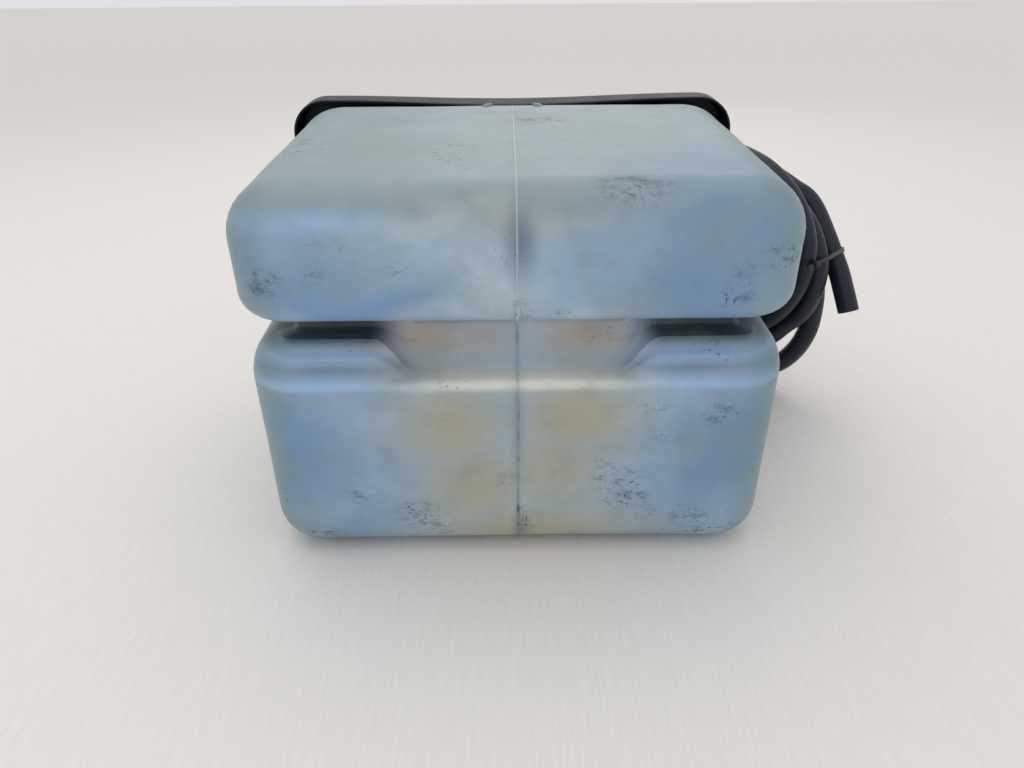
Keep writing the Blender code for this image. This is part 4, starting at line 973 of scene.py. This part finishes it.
def gridTree():
    # copies of one piece on a flat grid
    tree, inputs, output = newTree("gridOfPieces", [
        ("Piece", "NodeSocketObject"),
        ("Across", "NodeSocketInt"),
        ("Down", "NodeSocketInt"),
        ("Width", "NodeSocketFloat"),
        ("Height", "NodeSocketFloat"),
        ("Turn", "NodeSocketVector"),
        ("Material", "NodeSocketMaterial"),
    ])
    grid = put(tree, "GeometryNodeMeshGrid", {"Vertices X": inputs["Across"], "Vertices Y": inputs["Down"],
                                              "Size X": inputs["Width"],
                                              "Size Y": inputs["Height"]}).outputs["Mesh"]
    piece = put(tree, "GeometryNodeObjectInfo", {"Object": inputs["Piece"]}).outputs["Geometry"]
    copies = put(tree, "GeometryNodeInstanceOnPoints", {"Points": grid, "Instance": piece,
                                                        "Rotation": inputs["Turn"]}).outputs[0]
    finishTree(tree, copies, inputs["Material"], output)
    return tree


def ringTree():
    # copies of one piece round a circle, each facing outwards
    tree, inputs, output = newTree("ringOfPieces", [
        ("Piece", "NodeSocketObject"),
        ("Count", "NodeSocketInt"),
        ("Radius", "NodeSocketFloat"),
        ("Start", "NodeSocketFloat"),
        ("Material", "NodeSocketMaterial"),
    ])
    circle = put(tree, "GeometryNodeMeshCircle",
                 {"Vertices": inputs["Count"], "Radius": inputs["Radius"]}).outputs[0]
    start = put(tree, "ShaderNodeCombineXYZ", {2: inputs["Start"]}).outputs[0]
    circle = put(tree, "GeometryNodeTransform", {"Geometry": circle, "Rotation": start}).outputs[0]
    place = put(tree, "GeometryNodeInputPosition").outputs[0]
    split = put(tree, "ShaderNodeSeparateXYZ", {0: place}).outputs
    angle = put(tree, "ShaderNodeMath", {0: split[1], 1: split[0]}, operation="ARCTAN2").outputs[0]
    turn = put(tree, "ShaderNodeCombineXYZ", {2: angle}).outputs[0]
    piece = put(tree, "GeometryNodeObjectInfo", {"Object": inputs["Piece"]}).outputs["Geometry"]
    copies = put(tree, "GeometryNodeInstanceOnPoints", {"Points": circle, "Instance": piece,
                                                        "Rotation": turn}).outputs[0]
    finishTree(tree, copies, inputs["Material"], output)
    return tree


def beadTree():
    # a round bead along a guide line, thicker and thinner by turns
    tree, inputs, output = newTree("beadOnLine", [
        ("Guide", "NodeSocketObject"),
        ("Radius", "NodeSocketFloat"),
        ("Unevenness", "NodeSocketFloat"),
        ("Spacing", "NodeSocketFloat"),
        ("Seed", "NodeSocketFloat"),
        ("Material", "NodeSocketMaterial"),
    ])
    guide = put(tree, "GeometryNodeObjectInfo", {"Object": inputs["Guide"]}).outputs["Geometry"]
    curve = put(tree, "GeometryNodeMeshToCurve", {"Mesh": guide}).outputs[0]
    curve = put(tree, "GeometryNodeResampleCurve", {"Curve": curve, "Length": inputs["Spacing"]},
                mode="LENGTH")
    place = put(tree, "GeometryNodeInputPosition").outputs[0]
    seed = put(tree, "ShaderNodeCombineXYZ", {0: inputs["Seed"]}).outputs[0]
    place = put(tree, "ShaderNodeVectorMath", {0: place, 1: seed}, operation="ADD").outputs[0]
    uneven = put(tree, "ShaderNodeTexNoise", {"Vector": place, "Scale": 190.0, "Detail": 3.0}).outputs["Fac"]
    uneven = combine(tree, "SUBTRACT", uneven, 0.5)
    factor = combine(tree, "ADD", combine(tree, "MULTIPLY", uneven, inputs["Unevenness"]), 1.0)
    ring = put(tree, "GeometryNodeCurvePrimitiveCircle",
               {"Resolution": 8, "Radius": inputs["Radius"]}).outputs[0]
    bead = put(tree, "GeometryNodeCurveToMesh", {"Curve": curve.outputs[0], "Profile Curve": ring,
                                                 "Scale": factor, "Fill Caps": True}).outputs[0]
    finishTree(tree, bead, inputs["Material"], output)
    return tree


gridOfPieces, ringOfPieces, beadOnLine = gridTree(), ringTree(), beadTree()


def guideLine(points):
    mesh = bpy.data.meshes.new("guide")
    mesh.from_pydata([tuple(point) for point in points], [(k, k + 1) for k in range(len(points) - 1)], [])
    return newObject("guide", mesh)


# ---- the tank's parting line, its flash, and the two short ribs at the rear top edge
seam = {"radius": 0.00055, "uneven": 0.9}
flash = {"height": 0.173, "half": 0.0050, "width": 0.0014, "proud": 0.0009}


def seamOutline():
    # the tank's middle section, from under the front round the top to the rear
    samples = [(Vector((0.0, 0.0)), Vector((0.0, -1.0)), 1.0, 0.0, 1.0)]
    web = waistProfiles()[0]
    bottomEdge, topEdge, height = tankSize["bottomEdge"], tankSize["topEdge"], tankSize["height"]
    rows = arc(bottomEdge, bottomEdge, bottomEdge, -90, -180, 9)
    rows += line((0.0, bottomEdge), (0.0, waist["edge"]), 12)[:-1]
    rows += web + line((0.0, waist["under"] + waist["lip"]), (0.0, height - topEdge), 5)[:-1]
    rows += arc(topEdge, height - topEdge, topEdge, 180, 90, 10)
    points = [Vector((0.0, deep, 0.0)) for deep in (0.160, 0.130, 0.100, 0.070, 0.045)]
    points += [tankRing(samples, row, row, row)[0] for row in rows]
    points += [Vector((0.0, deep, height)) for deep in (0.045, 0.070, 0.100, 0.130, 0.160, 0.190, 0.210)]
    return [vessel @ tankShape(point) for point in points]


def makeSeam():
    guide = guideLine(seamOutline())
    bead = grown("tankSeam", beadOnLine, {"Guide": guide, "Radius": seam["radius"],
                                          "Unevenness": seam["uneven"],
                                          "Spacing": 0.0016, "Seed": 3.0, "Material": tankPlastic})
    removePiece(guide)
    blob = bmesh.new()
    bmesh.ops.create_uvsphere(blob, u_segments=20, v_segments=14, radius=1.0)
    blob.transform(Matrix.Diagonal((flash["width"], flash["proud"], flash["half"], 1.0)))
    for vert in blob.verts:
        vert.co += noise.noise_vector(vert.co * 420.0) * 0.00025
    blob.transform(vessel @ Matrix.Translation((0.0003, 0.0002, flash["height"])))
    bm = bmesh.new()
    bm.from_mesh(bead.data)
    joinMesh(bm, blob)
    bm.to_mesh(bead.data)
    bm.free()
    bead.data.shade_smooth()
    return bead


ribs = {"inner": (0.0155, 0.2185, 0.2398), "outer": (0.0235, 0.2135, 0.2380), "radius": 0.0011}


def makeRibs():
    bm = bmesh.new()
    for side in (-1, 1):
        start = Vector((side * ribs["outer"][0], *ribs["outer"][1:]))
        end = Vector((side * ribs["inner"][0], *ribs["inner"][1:]))
        middle = start.lerp(end, 0.5) + Vector((0.0, 0.0, 0.0010))
        points = [through([start, middle, end], k / 8) for k in range(17)]
        rings = tubeRings(points, ribs["radius"], 12)
        joinMesh(bm, skin(rings))
    return meshPiece("tankRibs", bm, tankPlastic, vessel)


for piece in (makeSeam(), makeRibs()):
    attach(piece, "root")
print("seam made")

# ---- tray cover
cover = {"margin": 0.009, "rise": 0.003, "drop": 0.0145, "lipDepth": 0.2285, "back": 0.2525, "wall": 0.002,
         "corner": 0.025, "edge": 0.005, "lipBow": 0.0042, "backBow": 0.0030, "cornerSteps": 16,
         "sideSteps": 36,
         "holeRoom": 0.0015, "screwHole": 0.0024}


def coverRing(inset, depth, bow):
    half = tankSize["width"] / 2 + cover["margin"] - inset
    low, high = -cover["drop"] + inset, tankSize["height"] + cover["rise"] - inset
    radius = max(cover["corner"] - inset, 0.002)
    span = half - radius
    centres = [(-span, high - radius, 180), (span, high - radius, 90), (span, low + radius, 0),
               (-span, low + radius, -90)]
    ring = []
    for number, (x, z, start) in enumerate(centres):
        ring += [(px, depth, pz) for px, pz in arc(x, z, radius, start, start - 90, cover["cornerSteps"])]
        nextX, nextZ, nextStart = centres[(number + 1) % 4]
        first = Vector(ring[-1])
        angle = math.radians(nextStart)
        last = Vector((nextX + radius * math.cos(angle), depth, nextZ + radius * math.sin(angle)))
        for k in range(1, cover["sideSteps"]):
            point = first.lerp(last, k / cover["sideSteps"])
            if number == 0:
                point.z -= bow * (0.5 + 0.5 * math.cos(math.pi * point.x / span))
            ring.append(tuple(point))
    return ring


def makeCover():
    wall, edge, back = cover["wall"], cover["edge"], cover["back"]
    lip = cover["lipDepth"]
    outer = [coverRing(0.0004, lip, cover["lipBow"]), coverRing(0.0, lip + 0.0006, cover["lipBow"])]
    outer += [coverRing(0.0, lip + (back - edge - lip) * k / 5,
                        cover["lipBow"] + (cover["backBow"] - cover["lipBow"])
                        * k / 5) for k in range(1, 5)]
    outer += [coverRing(inset, depth, cover["backBow"])
              for inset, depth in arc(edge, back - edge, edge, 180, 90, 8)]
    outer += [coverRing(inset, back, cover["backBow"] * (1 - inset / 0.12))
              for inset in (0.03, 0.06, 0.09, 0.115)]
    inner = [coverRing(wall - 0.0004, lip, cover["lipBow"]), coverRing(wall, lip + 0.0006, cover["lipBow"])]
    inner += [coverRing(inset, depth, cover["backBow"])
              for inset, depth in arc(edge, back - edge, edge - wall, 180, 90, 6)]
    inner += [coverRing(inset, back - wall, cover["backBow"] * (1 - inset / 0.12))
              for inset in (0.03, 0.06, 0.09, 0.115)]
    tray = meshPiece("trayCover", skin(list(reversed(inner)) + outer), coverPlastic, vessel, 40.0)
    holes = bmesh.new()
    places = [(radius + cover["holeRoom"], x, height) for x, height, radius, *_ in stubs.values()]
    places += [(cover["screwHole"], x, height) for x, height in screwSpots]
    for radius, x, height in places:
        bmesh.ops.create_cone(holes, cap_ends=True, segments=72, radius1=radius, radius2=radius, depth=0.01,
                              matrix=alongDepth(x, back - wall / 2, height))
    cutter = meshPiece("holes", holes, coverPlastic)
    change = tray.modifiers.new("holes", "BOOLEAN")
    change.operation, change.solver, change.object = "DIFFERENCE", "EXACT", cutter
    frozen(tray)
    removePiece(cutter)
    tray.data.shade_smooth()
    tray.data.set_sharp_from_angle(angle=math.radians(40))
    return tray


trayCover = makeCover()
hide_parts("rear_cover")
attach(trayCover, "root")

coverRibs = {"length": 0.030, "width": 0.0022, "proud": 0.0011}


def roundedBar(name, size, soft, material):
    bm = bmesh.new()
    bmesh.ops.create_cube(bm, size=1.0, matrix=Matrix.Diagonal((*size, 1.0)))
    bmesh.ops.bevel(bm, geom=bm.edges[:] + bm.verts[:], offset=soft, segments=2, affect="EDGES")
    return meshPiece(name, bm, material)


def makeCoverRibs():
    bar = roundedBar("bar", (coverRibs["width"], coverRibs["length"], coverRibs["proud"] * 2), 0.0007,
                     coverPlastic)
    fields = [(9, 0.096, 0.138, -0.075), (9, 0.096, 0.138, 0.100), (6, 0.070, 0.026, -0.064),
              (6, 0.070, 0.026, 0.064),
              (6, 0.060, 0.205, -0.062), (5, 0.042, 0.205, 0.085)]
    pieces = []
    for number, (count, width, height, x) in enumerate(fields):
        pieces.append(grown(f"coverRibs{number + 1}", gridOfPieces, {
            "Piece": bar, "Across": count, "Down": 1, "Width": width, "Height": 0.0, "Turn": (0.0, 0.0, 0.0),
            "Material": coverPlastic}, alongDepth(x, cover["back"], height)))
    guide = guideLine([vessel @ Vector(point) for point in coverRing(0.013, cover["back"], 0.002)])
    pieces.append(grown("coverBorder", beadOnLine, {"Guide": guide, "Radius": 0.0012, "Unevenness": 0.0,
                                                    "Spacing": 0.003, "Seed": 0.0, "Material": coverPlastic}))
    removePiece(bar)
    removePiece(guide)
    return pieces


for piece in makeCoverRibs():
    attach(piece, "root")
print("cover made")

# ---- screws
screwKinds = {
    "cover": {"radius": 0.0020, "length": 0.016, "head": 0.0042, "headHeight": 0.0030, "socket": 0.0017,
              "socketDepth": 0.0018},
    "sender": {"radius": 0.0012, "length": 0.0188, "head": 0.0024, "headHeight": 0.0016, "socket": 0.00105,
               "socketDepth": 0.0010},
}
washer = {"inner": 0.0024, "outer": 0.0060, "thick": 0.0010, "gap": 0.0004}


def makeScrewSource(size):
    # a pan head with a six-sided socket, its seat at z 0
    head, high = size["head"], size["headHeight"]
    rings = []
    outer = [(size["radius"] * 0.3, -size["length"]), (size["radius"], -size["length"] + 0.0015),
             (size["radius"], 0.0), (head - 0.0002, 0.0), (head, 0.0003), (head, high * 0.6),
             (head * 0.93, high * 0.85), (head * 0.78, high), (size["socket"] * 1.35, high)]
    for radius, z in outer:
        rings.append([(radius * math.cos(math.tau * k / 36), radius * math.sin(math.tau * k / 36), z)
                      for k in range(36)])
    for scale, z in ((1.06, high), (1.0, high - 0.0002), (1.0, high - size["socketDepth"])):
        ring = []
        for k in range(36):
            angle = math.tau * k / 36
            flat = math.cos(math.pi / 6) / math.cos((angle % (math.pi / 3)) - math.pi / 6)
            radius = size["socket"] * scale * flat / math.cos(math.pi / 6)
            ring.append((radius * math.cos(angle), radius * math.sin(angle), z))
        rings.append(ring)
    return meshPiece("screwSource", skin(rings), zincSteel, sharp=30.0)


def makeScrews():
    source = makeScrewSource(screwKinds["cover"])
    seat = fit["coverBack"] + washer["gap"] * 2 + washer["thick"]
    screws = grown("coverScrews", gridOfPieces, {"Piece": source, "Across": 3, "Down": 2, "Width": 0.250,
                                                 "Height": 0.153, "Turn": (0.0, 0.0, 0.3),
                                                 "Material": zincSteel},
                   alongDepth(0.0, seat, 0.1195), 30.0)
    removePiece(source)
    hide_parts(*[f"cover_screw_{k}" for k in range(1, 7)])
    plate = meshPiece("washerSource", latheMesh(softened(tubeProfile(washer["inner"], washer["outer"], 0.0,
                                                                     washer["thick"]), 0.0002, True), 60,
                                                True), zincSteel)
    washers = grown("coverWashers", gridOfPieces, {"Piece": plate, "Across": 3, "Down": 2, "Width": 0.250,
                                                   "Height": 0.153, "Turn": (0.0, 0.0, 0.0),
                                                   "Material": zincSteel},
                    alongDepth(0.0, fit["coverBack"] + washer["gap"], 0.1195), 30.0)
    removePiece(plate)
    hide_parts(*[f"cover_washer_{k}" for k in range(1, 7)])
    small = makeScrewSource(screwKinds["sender"])
    senderScrews = grown("senderScrews", ringOfPieces, {"Piece": small, "Count": 4, "Radius": 0.0203,
                                                        "Start": math.pi / 4, "Material": zincSteel},
                         alongDepth(-0.090, 0.2667, 0.085), 30.0)
    removePiece(small)
    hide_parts(*[f"sender_screw_{k}" for k in range(1, 5)])
    return [screws, washers, senderScrews]


for piece in makeScrews():
    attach(piece, "root")
print("screws made")

# ---- filler cap
cap = {"inner": 0.0241, "outer": 0.0297, "grip": 0.0016, "lobes": 12, "skirt": 0.0125, "ceiling": 0.0032,
       "top": 0.0094, "edge": 0.0025}


def capRing(radius, z, grip, steps=192):
    ring = []
    for k in range(steps):
        angle = math.tau * k / steps
        reach = radius - max(0.0, math.cos(cap["lobes"] * angle)) ** 0.8 * grip
        ring.append((reach * math.cos(angle), reach * math.sin(angle), z))
    return ring


def makeCap():
    inner, outer, grip, edge, top = (cap[key] for key in ("inner", "outer", "grip", "edge", "top"))
    rings = [[(0.0, 0.0, cap["ceiling"])], capRing(inner - 0.0006, cap["ceiling"], 0.0)]
    rings += [capRing(inner, cap["ceiling"] - 0.0006, 0.0), capRing(inner, -cap["skirt"] + 0.0006, 0.0)]
    rings += [capRing(inner + 0.0006, -cap["skirt"], 0.0), capRing(outer - 0.0007, -cap["skirt"], grip * 0.8)]
    rings += [capRing(outer, -cap["skirt"] + 0.0007, grip), capRing(outer, -cap["skirt"] + 0.0021, grip)]
    rings += [capRing(outer, top - edge - 0.001, grip)]
    rings += [capRing(outer - inset, z, grip * (1 - 0.7 * inset / edge)) for inset, z in
              arc(edge, top - edge, edge, 180, 90, 8)]
    # raised rim, dished middle and a low boss
    rings += [capRing(radius, z, 0.0) for radius, z in ((0.0238, top), (0.0230, top - 0.0002),
                                                        (0.0222, top - 0.0013),
                                                        (0.0214, top - 0.0016), (0.0120, top - 0.0016),
                                                        (0.0114, top - 0.0014), (0.0108, top - 0.0006),
                                                        (0.0100, top - 0.0004), (0.0030, top - 0.0004))]
    rings.append([(0.0, 0.0, top - 0.0004)])
    return meshPiece("fillerCap", skin(rings), capPlastic, alongDepth(0.0, fit["neckDepth"], 0.085), 32.0)


def makeCapMarks():
    # raised bars on the dished ring
    bar = roundedBar("bar", (0.0062, 0.0011, 0.0010), 0.0003, capPlastic)
    marks = grown("capMarks", ringOfPieces, {"Piece": bar, "Count": 24, "Radius": 0.0167, "Start": 0.13,
                                             "Material": capPlastic},
                  alongDepth(0.0, fit["neckDepth"] + cap["top"] - 0.0014, 0.085))
    removePiece(bar)
    return marks


fillerCap, capMarks = makeCap(), makeCapMarks()
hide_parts("filler_cap")
for piece in (fillerCap, capMarks):
    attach(piece, "cap")
print("cap made")

# ---- level sender and hose outlet
sender = {"x": -0.090, "height": 0.085, "radius": 0.0240, "low": 0.0023, "top": 0.0068, "socket": 0.0100,
          "socketTop": 0.0198, "socketWall": 0.0016, "plug": 0.0161, "plugDepth": 0.012, "stem": 0.0030,
          "stemEnd": -0.187, "screwCircle": 0.0203, "hole": 0.0016}
outlet = {"x": 0.030, "height": 0.195, "flange": 0.0115, "low": 0.0020, "top": 0.0075, "tube": 0.0048,
          "bore": 0.0034,
          "spigot": 0.0062, "spigotDepth": 0.010, "barb": 0.0005, "pitch": 0.0070}


def makeSender():
    top, socketTop, cavity = sender["top"], sender["socketTop"], sender["socket"] - sender["socketWall"]
    profile = softened([
        (0.0, top), (cavity, top), (cavity, socketTop), (sender["socket"], socketTop),
                        (sender["socket"], top),
        (sender["radius"], top), (sender["radius"], sender["low"]), (sender["plug"], sender["low"]),
        (sender["plug"], -sender["plugDepth"]), (sender["stem"], -sender["plugDepth"]),
        (sender["stem"], sender["stemEnd"]), (0.0, sender["stemEnd"])], 0.0006)
    head = meshPiece("senderHead", latheMesh(profile, 96), capPlastic)
    holes = bmesh.new()
    for k in range(4):
        angle = math.radians(45 + 90 * k)
        spot = Matrix.Translation((sender["screwCircle"] * math.cos(angle),
                                   sender["screwCircle"] * math.sin(angle), 0.004))
        bmesh.ops.create_cone(holes, cap_ends=True, segments=32, radius1=sender["hole"],
                              radius2=sender["hole"],
                              depth=0.012, matrix=spot)
    cutter = meshPiece("holes", holes, capPlastic)
    change = head.modifiers.new("holes", "BOOLEAN")
    change.operation, change.solver, change.object = "DIFFERENCE", "EXACT", cutter
    frozen(head)
    removePiece(cutter)
    bm = bmesh.new()
    bm.from_mesh(head.data)
    for angle in (90, 210, 330):
        key = bmesh.new()
        bmesh.ops.create_cube(key, size=1.0, matrix=Matrix.Diagonal((0.0022, 0.0030, 0.0110, 1.0)))
        bmesh.ops.bevel(key, geom=key.edges[:] + key.verts[:], offset=0.0004, segments=2, affect="EDGES")
        turn = Matrix.Rotation(math.radians(angle), 4, "Z")
        key.transform(turn @ Matrix.Translation((sender["socket"] + 0.0004, 0.0, top + 0.0056)))
        joinMesh(bm, key)
    bm.to_mesh(head.data)
    bm.free()
    head.data.transform(alongDepth(sender["x"], fit["stubTop"], sender["height"]))
    head.data.shade_smooth()
    head.data.set_sharp_from_angle(angle=math.radians(32))
    return head


def makeOutlet():
    tip = outlet["top"] + 3 * outlet["pitch"] + 0.001
    profile = [(outlet["bore"], tip), (outlet["tube"], tip)]
    for k in range(3):
        start = tip - 0.001 - k * outlet["pitch"]
        profile += [(outlet["tube"], start), (outlet["tube"] + outlet["barb"], start - outlet["pitch"] * 0.6),
                    (outlet["tube"], start - outlet["pitch"] * 0.62)]
    profile += [(outlet["tube"], outlet["top"]), (outlet["flange"], outlet["top"]),
                (outlet["flange"], outlet["low"]),
                (outlet["spigot"], outlet["low"]), (outlet["spigot"], -outlet["spigotDepth"]),
                (outlet["bore"], -outlet["spigotDepth"])]
    return meshPiece("outletFitting", latheMesh(softened(profile, 0.0003, True), 72, True), capPlastic,
                     alongDepth(outlet["x"], fit["stubTop"], outlet["height"]), 32.0)


senderHead, outletFitting = makeSender(), makeOutlet()
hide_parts("sender_head")
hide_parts("outlet_fitting")
for piece in (senderHead, outletFitting):
    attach(piece, "root")

# ---- hose end over the barbs, and its worm-drive clamp
hoseEnd = {"low": 0.0079, "long": 0.0260, "bore": 0.0058, "radius": 0.0080}
clamp = {"width": 0.0090, "inner": 0.0084, "band": 0.0008, "housing": (0.0115, 0.0070, 0.0072),
         "screw": 0.0021,
         "screwHead": 0.0030, "headHigh": 0.0030, "ridges": 44}


def makeHoseEnd():
    low, high = hoseEnd["low"], hoseEnd["low"] + hoseEnd["long"] + 0.0004
    middle = (low + high) / 2
    radius = hoseEnd["radius"]
    outer = [(radius, high), (radius, middle + 0.0075)]
    outer += [(radius - 0.00035 * blendIn(abs(z), 0.0075, 0.0045), middle + z)
              for z in (0.006, 0.0045, -0.0045, -0.006)]
    profile = outer + [(radius, middle - 0.0075), (radius, low + 0.0005), (radius - 0.0005, low),
                       (hoseEnd["bore"], low),
                       (hoseEnd["bore"], high)]
    return meshPiece("hoseEnd", latheMesh(profile, 56, True), hoseRubber,
                     alongDepth(outlet["x"], fit["stubTop"], outlet["height"]), 50.0)


def clampMiddle():
    return hoseEnd["low"] + hoseEnd["long"] / 2


def clampPlace():
    return alongDepth(outlet["x"], fit["stubTop"] + clampMiddle(), outlet["height"])


def housingLevel():
    return clamp["inner"] + clamp["band"] - 0.0003 + clamp["housing"][1] / 2


def makeClampBand():
    inner, band, half = clamp["inner"], clamp["band"], clamp["width"] / 2
    profile = softened(tubeProfile(inner, inner + band, -half, half), 0.0002, True)
    bm = latheMesh(profile, 120, True)
    box = bmesh.new()
    bmesh.ops.create_cube(box, size=1.0, matrix=Matrix.Diagonal((*clamp["housing"], 1.0)))
    bmesh.ops.bevel(box,
                    geom=[edge for edge in box.edges if abs(edge.verts[0].co.x - edge.verts[1].co.x) > 0.001],
                    offset=0.0022, segments=6, affect="EDGES")
    bmesh.ops.bevel(box, geom=[edge for edge in box.edges if len(edge.link_faces) == 2
                               and edge.calc_face_angle(0.0) > 1.2], offset=0.0003, segments=2,
                    affect="EDGES")
    box.transform(Matrix.Translation((0.0, housingLevel(), 0.0)))
    joinMesh(bm, box)
    piece = meshPiece("clampBand", bm, springSteel, sharp=35.0)
    channel = bmesh.new()
    bmesh.ops.create_cone(channel, cap_ends=True, segments=40, radius1=clamp["screw"] + 0.0004,
                          radius2=clamp["screw"] + 0.0004, depth=0.02,
                          matrix=Matrix.Translation((0.0, housingLevel(),
                                                     0.0)) @ Matrix.Rotation(math.pi / 2, 4, "Y"))
    cutter = meshPiece("channel", channel, springSteel)
    change = piece.modifiers.new("channel", "BOOLEAN")
    change.operation, change.solver, change.object = "DIFFERENCE", "EXACT", cutter
    change.use_self = True
    frozen(piece)
    removePiece(cutter)
    piece.data.transform(clampPlace())
    piece.data.shade_smooth()
    piece.data.set_sharp_from_angle(angle=math.radians(35))
    return piece


def makeClampRidges():
    # the band's thread, pressed out as short slanted ridges
    bar = roundedBar("bar", (0.0005, 0.0006, 0.0052), 0.0001, springSteel)
    bar.data.transform(Matrix.Rotation(math.radians(12), 4, "X"))
    ridges = grown("clampRidges", ringOfPieces, {"Piece": bar, "Count": clamp["ridges"], "Start": 0.05,
                                                 "Radius": clamp["inner"] + clamp["band"],
                                                 "Material": springSteel}, clampPlace())
    removePiece(bar)
    return ridges


def makeClampScrew():
    half, radius, head = clamp["housing"][0] / 2, clamp["screw"], clamp["screwHead"]
    headLow = half + 0.0004
    top = headLow + clamp["headHigh"]
    steps = 48
    rings = [[(0.0, 0.0, -half - 0.001)]]
    turns = [(radius * 0.7, -half - 0.001), (radius * 0.95, -half - 0.0006)]
    count = 14
    for k in range(count):
        low = -half + 0.0002 + (2 * half - 0.0004) * k / count
        turns += [(radius, low), (radius, low + 0.0003), (radius - 0.0004, low + 0.00045),
                  (radius - 0.0004, low + 0.0007)]
    turns += [(radius, headLow - 0.0001)]
    for r, z in turns:
        rings.append([(r * math.cos(math.tau * k / steps), r * math.sin(math.tau * k / steps), z)
                      for k in range(steps)])
    for r, z in ((head * 0.96, headLow), (head, headLow + 0.0002), (head, top - 0.0004), (head * 0.9, top)):
        ring = []
        for k in range(steps):
            angle = math.tau * k / steps
            flat = math.cos(math.pi / 6) / math.cos((angle % (math.pi / 3)) - math.pi / 6)
            ring.append((r * flat * math.cos(angle), r * flat * math.sin(angle), z))
        rings.append(ring)
    rings.append([(0.0, 0.0, top)])
    screw = meshPiece("clampScrew", skin(rings), zincSteel, sharp=30.0)
    slotBox = bmesh.new()
    bmesh.ops.create_cube(slotBox, size=1.0, matrix=Matrix.Translation((0, 0, top)) @
                          Matrix.Diagonal((0.009, 0.0010, 0.0024, 1.0)))
    cutter = meshPiece("slot", slotBox, zincSteel)
    change = screw.modifiers.new("slot", "BOOLEAN")
    change.operation, change.solver, change.object = "DIFFERENCE", "EXACT", cutter
    frozen(screw)
    removePiece(cutter)
    place = clampPlace() @ Matrix.Translation((0.0, housingLevel(), 0.0)) @ Matrix.Rotation(math.pi / 2, 4,
                                                                                            "Y")
    screw.data.transform(place)
    screw.data.shade_smooth()
    screw.data.set_sharp_from_angle(angle=math.radians(30))
    return screw


hoseCuff = makeHoseEnd()
clampBand = makeClampBand()
clampRidges = makeClampRidges()
clampScrew = makeClampScrew()
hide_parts("hose_cuff")
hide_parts("hose_clamp")
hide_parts("clamp_screw")
for piece in (hoseCuff, clampBand, clampRidges):
    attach(piece, "root")
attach(clampScrew, "clamp_screw")
print("sender, outlet and clamp made")

# ---- finishes for the pieces that stay as they are
finishes = {
    "cap_insert": capPlastic, "cap_seal": sealRubber, "relief_disc": turnedBrass,
            "relief_spring": springSteel,
    "vacuum_valve": turnedBrass, "sender_gasket": sealRubber, "sender_terminal_1": zincSteel,
    "sender_terminal_2": zincSteel, "float_stop": zincSteel, "level_float": floatFoam,
            "outlet_seal": sealRubber,
    "dip_tube": capPlastic, "dip_strainer": capPlastic,
}
for node, material in finishes.items():
    data = frame["nodes"][node].data
    data.materials.clear()
    data.materials.append(material)


# ---- floor and light
studio = {"floor": colour(240, 236, 231), "sky": colour(236, 236, 238), "skyStrength": 0.90,
          "floorSize": 90.0,
          "lights": [("overhead", (-0.25, 0.30, 1.60), (0.0, 0.05, 0.0), 1.6, 6.0, (1.0, 0.985, 0.96)),
                     ("frontFill", (-0.9, -1.9, 1.05), (0.0, 0.0, 0.12), 1.2, 2.0, (0.95, 0.98, 1.0)),
                     ("rearFill", (0.3, 1.9, 1.2), (0.0, 0.1, 0.1), 1.2, 2.0, (0.97, 0.98, 1.0))]}


def makeStudio():
    bm = bmesh.new()
    bmesh.ops.create_grid(bm, x_segments=1, y_segments=1, size=studio["floorSize"])
    material, tree, shader = newMaterial("paleFloor", 0.55, specular=0.3)
    place = put(tree, "ShaderNodeTexCoord").outputs["Object"]
    fibre = noiseField(tree, place, 60.0, 4.0, 0.6, (9.0, 0.6, 1.0))
    shade = put(tree, "ShaderNodeMapRange", {0: fibre, 1: 0.3, 2: 0.7, 3: 0.0, 4: 0.35}).outputs[0]
    tree.links.new(mixed(tree, shade, studio["floor"], colour(222, 218, 213)), shader.inputs["Base Color"])
    floor = meshPiece("studioFloor", bm, material)
    world = bpy.data.worlds.new("studioSky")
    bpy.context.scene.world = world
    world.use_nodes = True
    background = world.node_tree.nodes["Background"]
    background.inputs[0].default_value = studio["sky"]
    background.inputs[1].default_value = studio["skyStrength"]
    for name, place, target, size, power, tint in studio["lights"]:
        data = bpy.data.lights.new(name, "AREA")
        data.shape, data.size, data.energy, data.color = "SQUARE", size, power, tint
        lamp = bpy.data.objects.new(name, data)
        bpy.context.scene.collection.objects.link(lamp)
        lamp.location = place
        lamp.rotation_mode = "QUATERNION"
        lamp.rotation_quaternion = (Vector(target) - Vector(place)).to_track_quat("-Z", "Y")
    bpy.context.scene.view_settings.view_transform = "Standard"


makeStudio()
print("studio made")
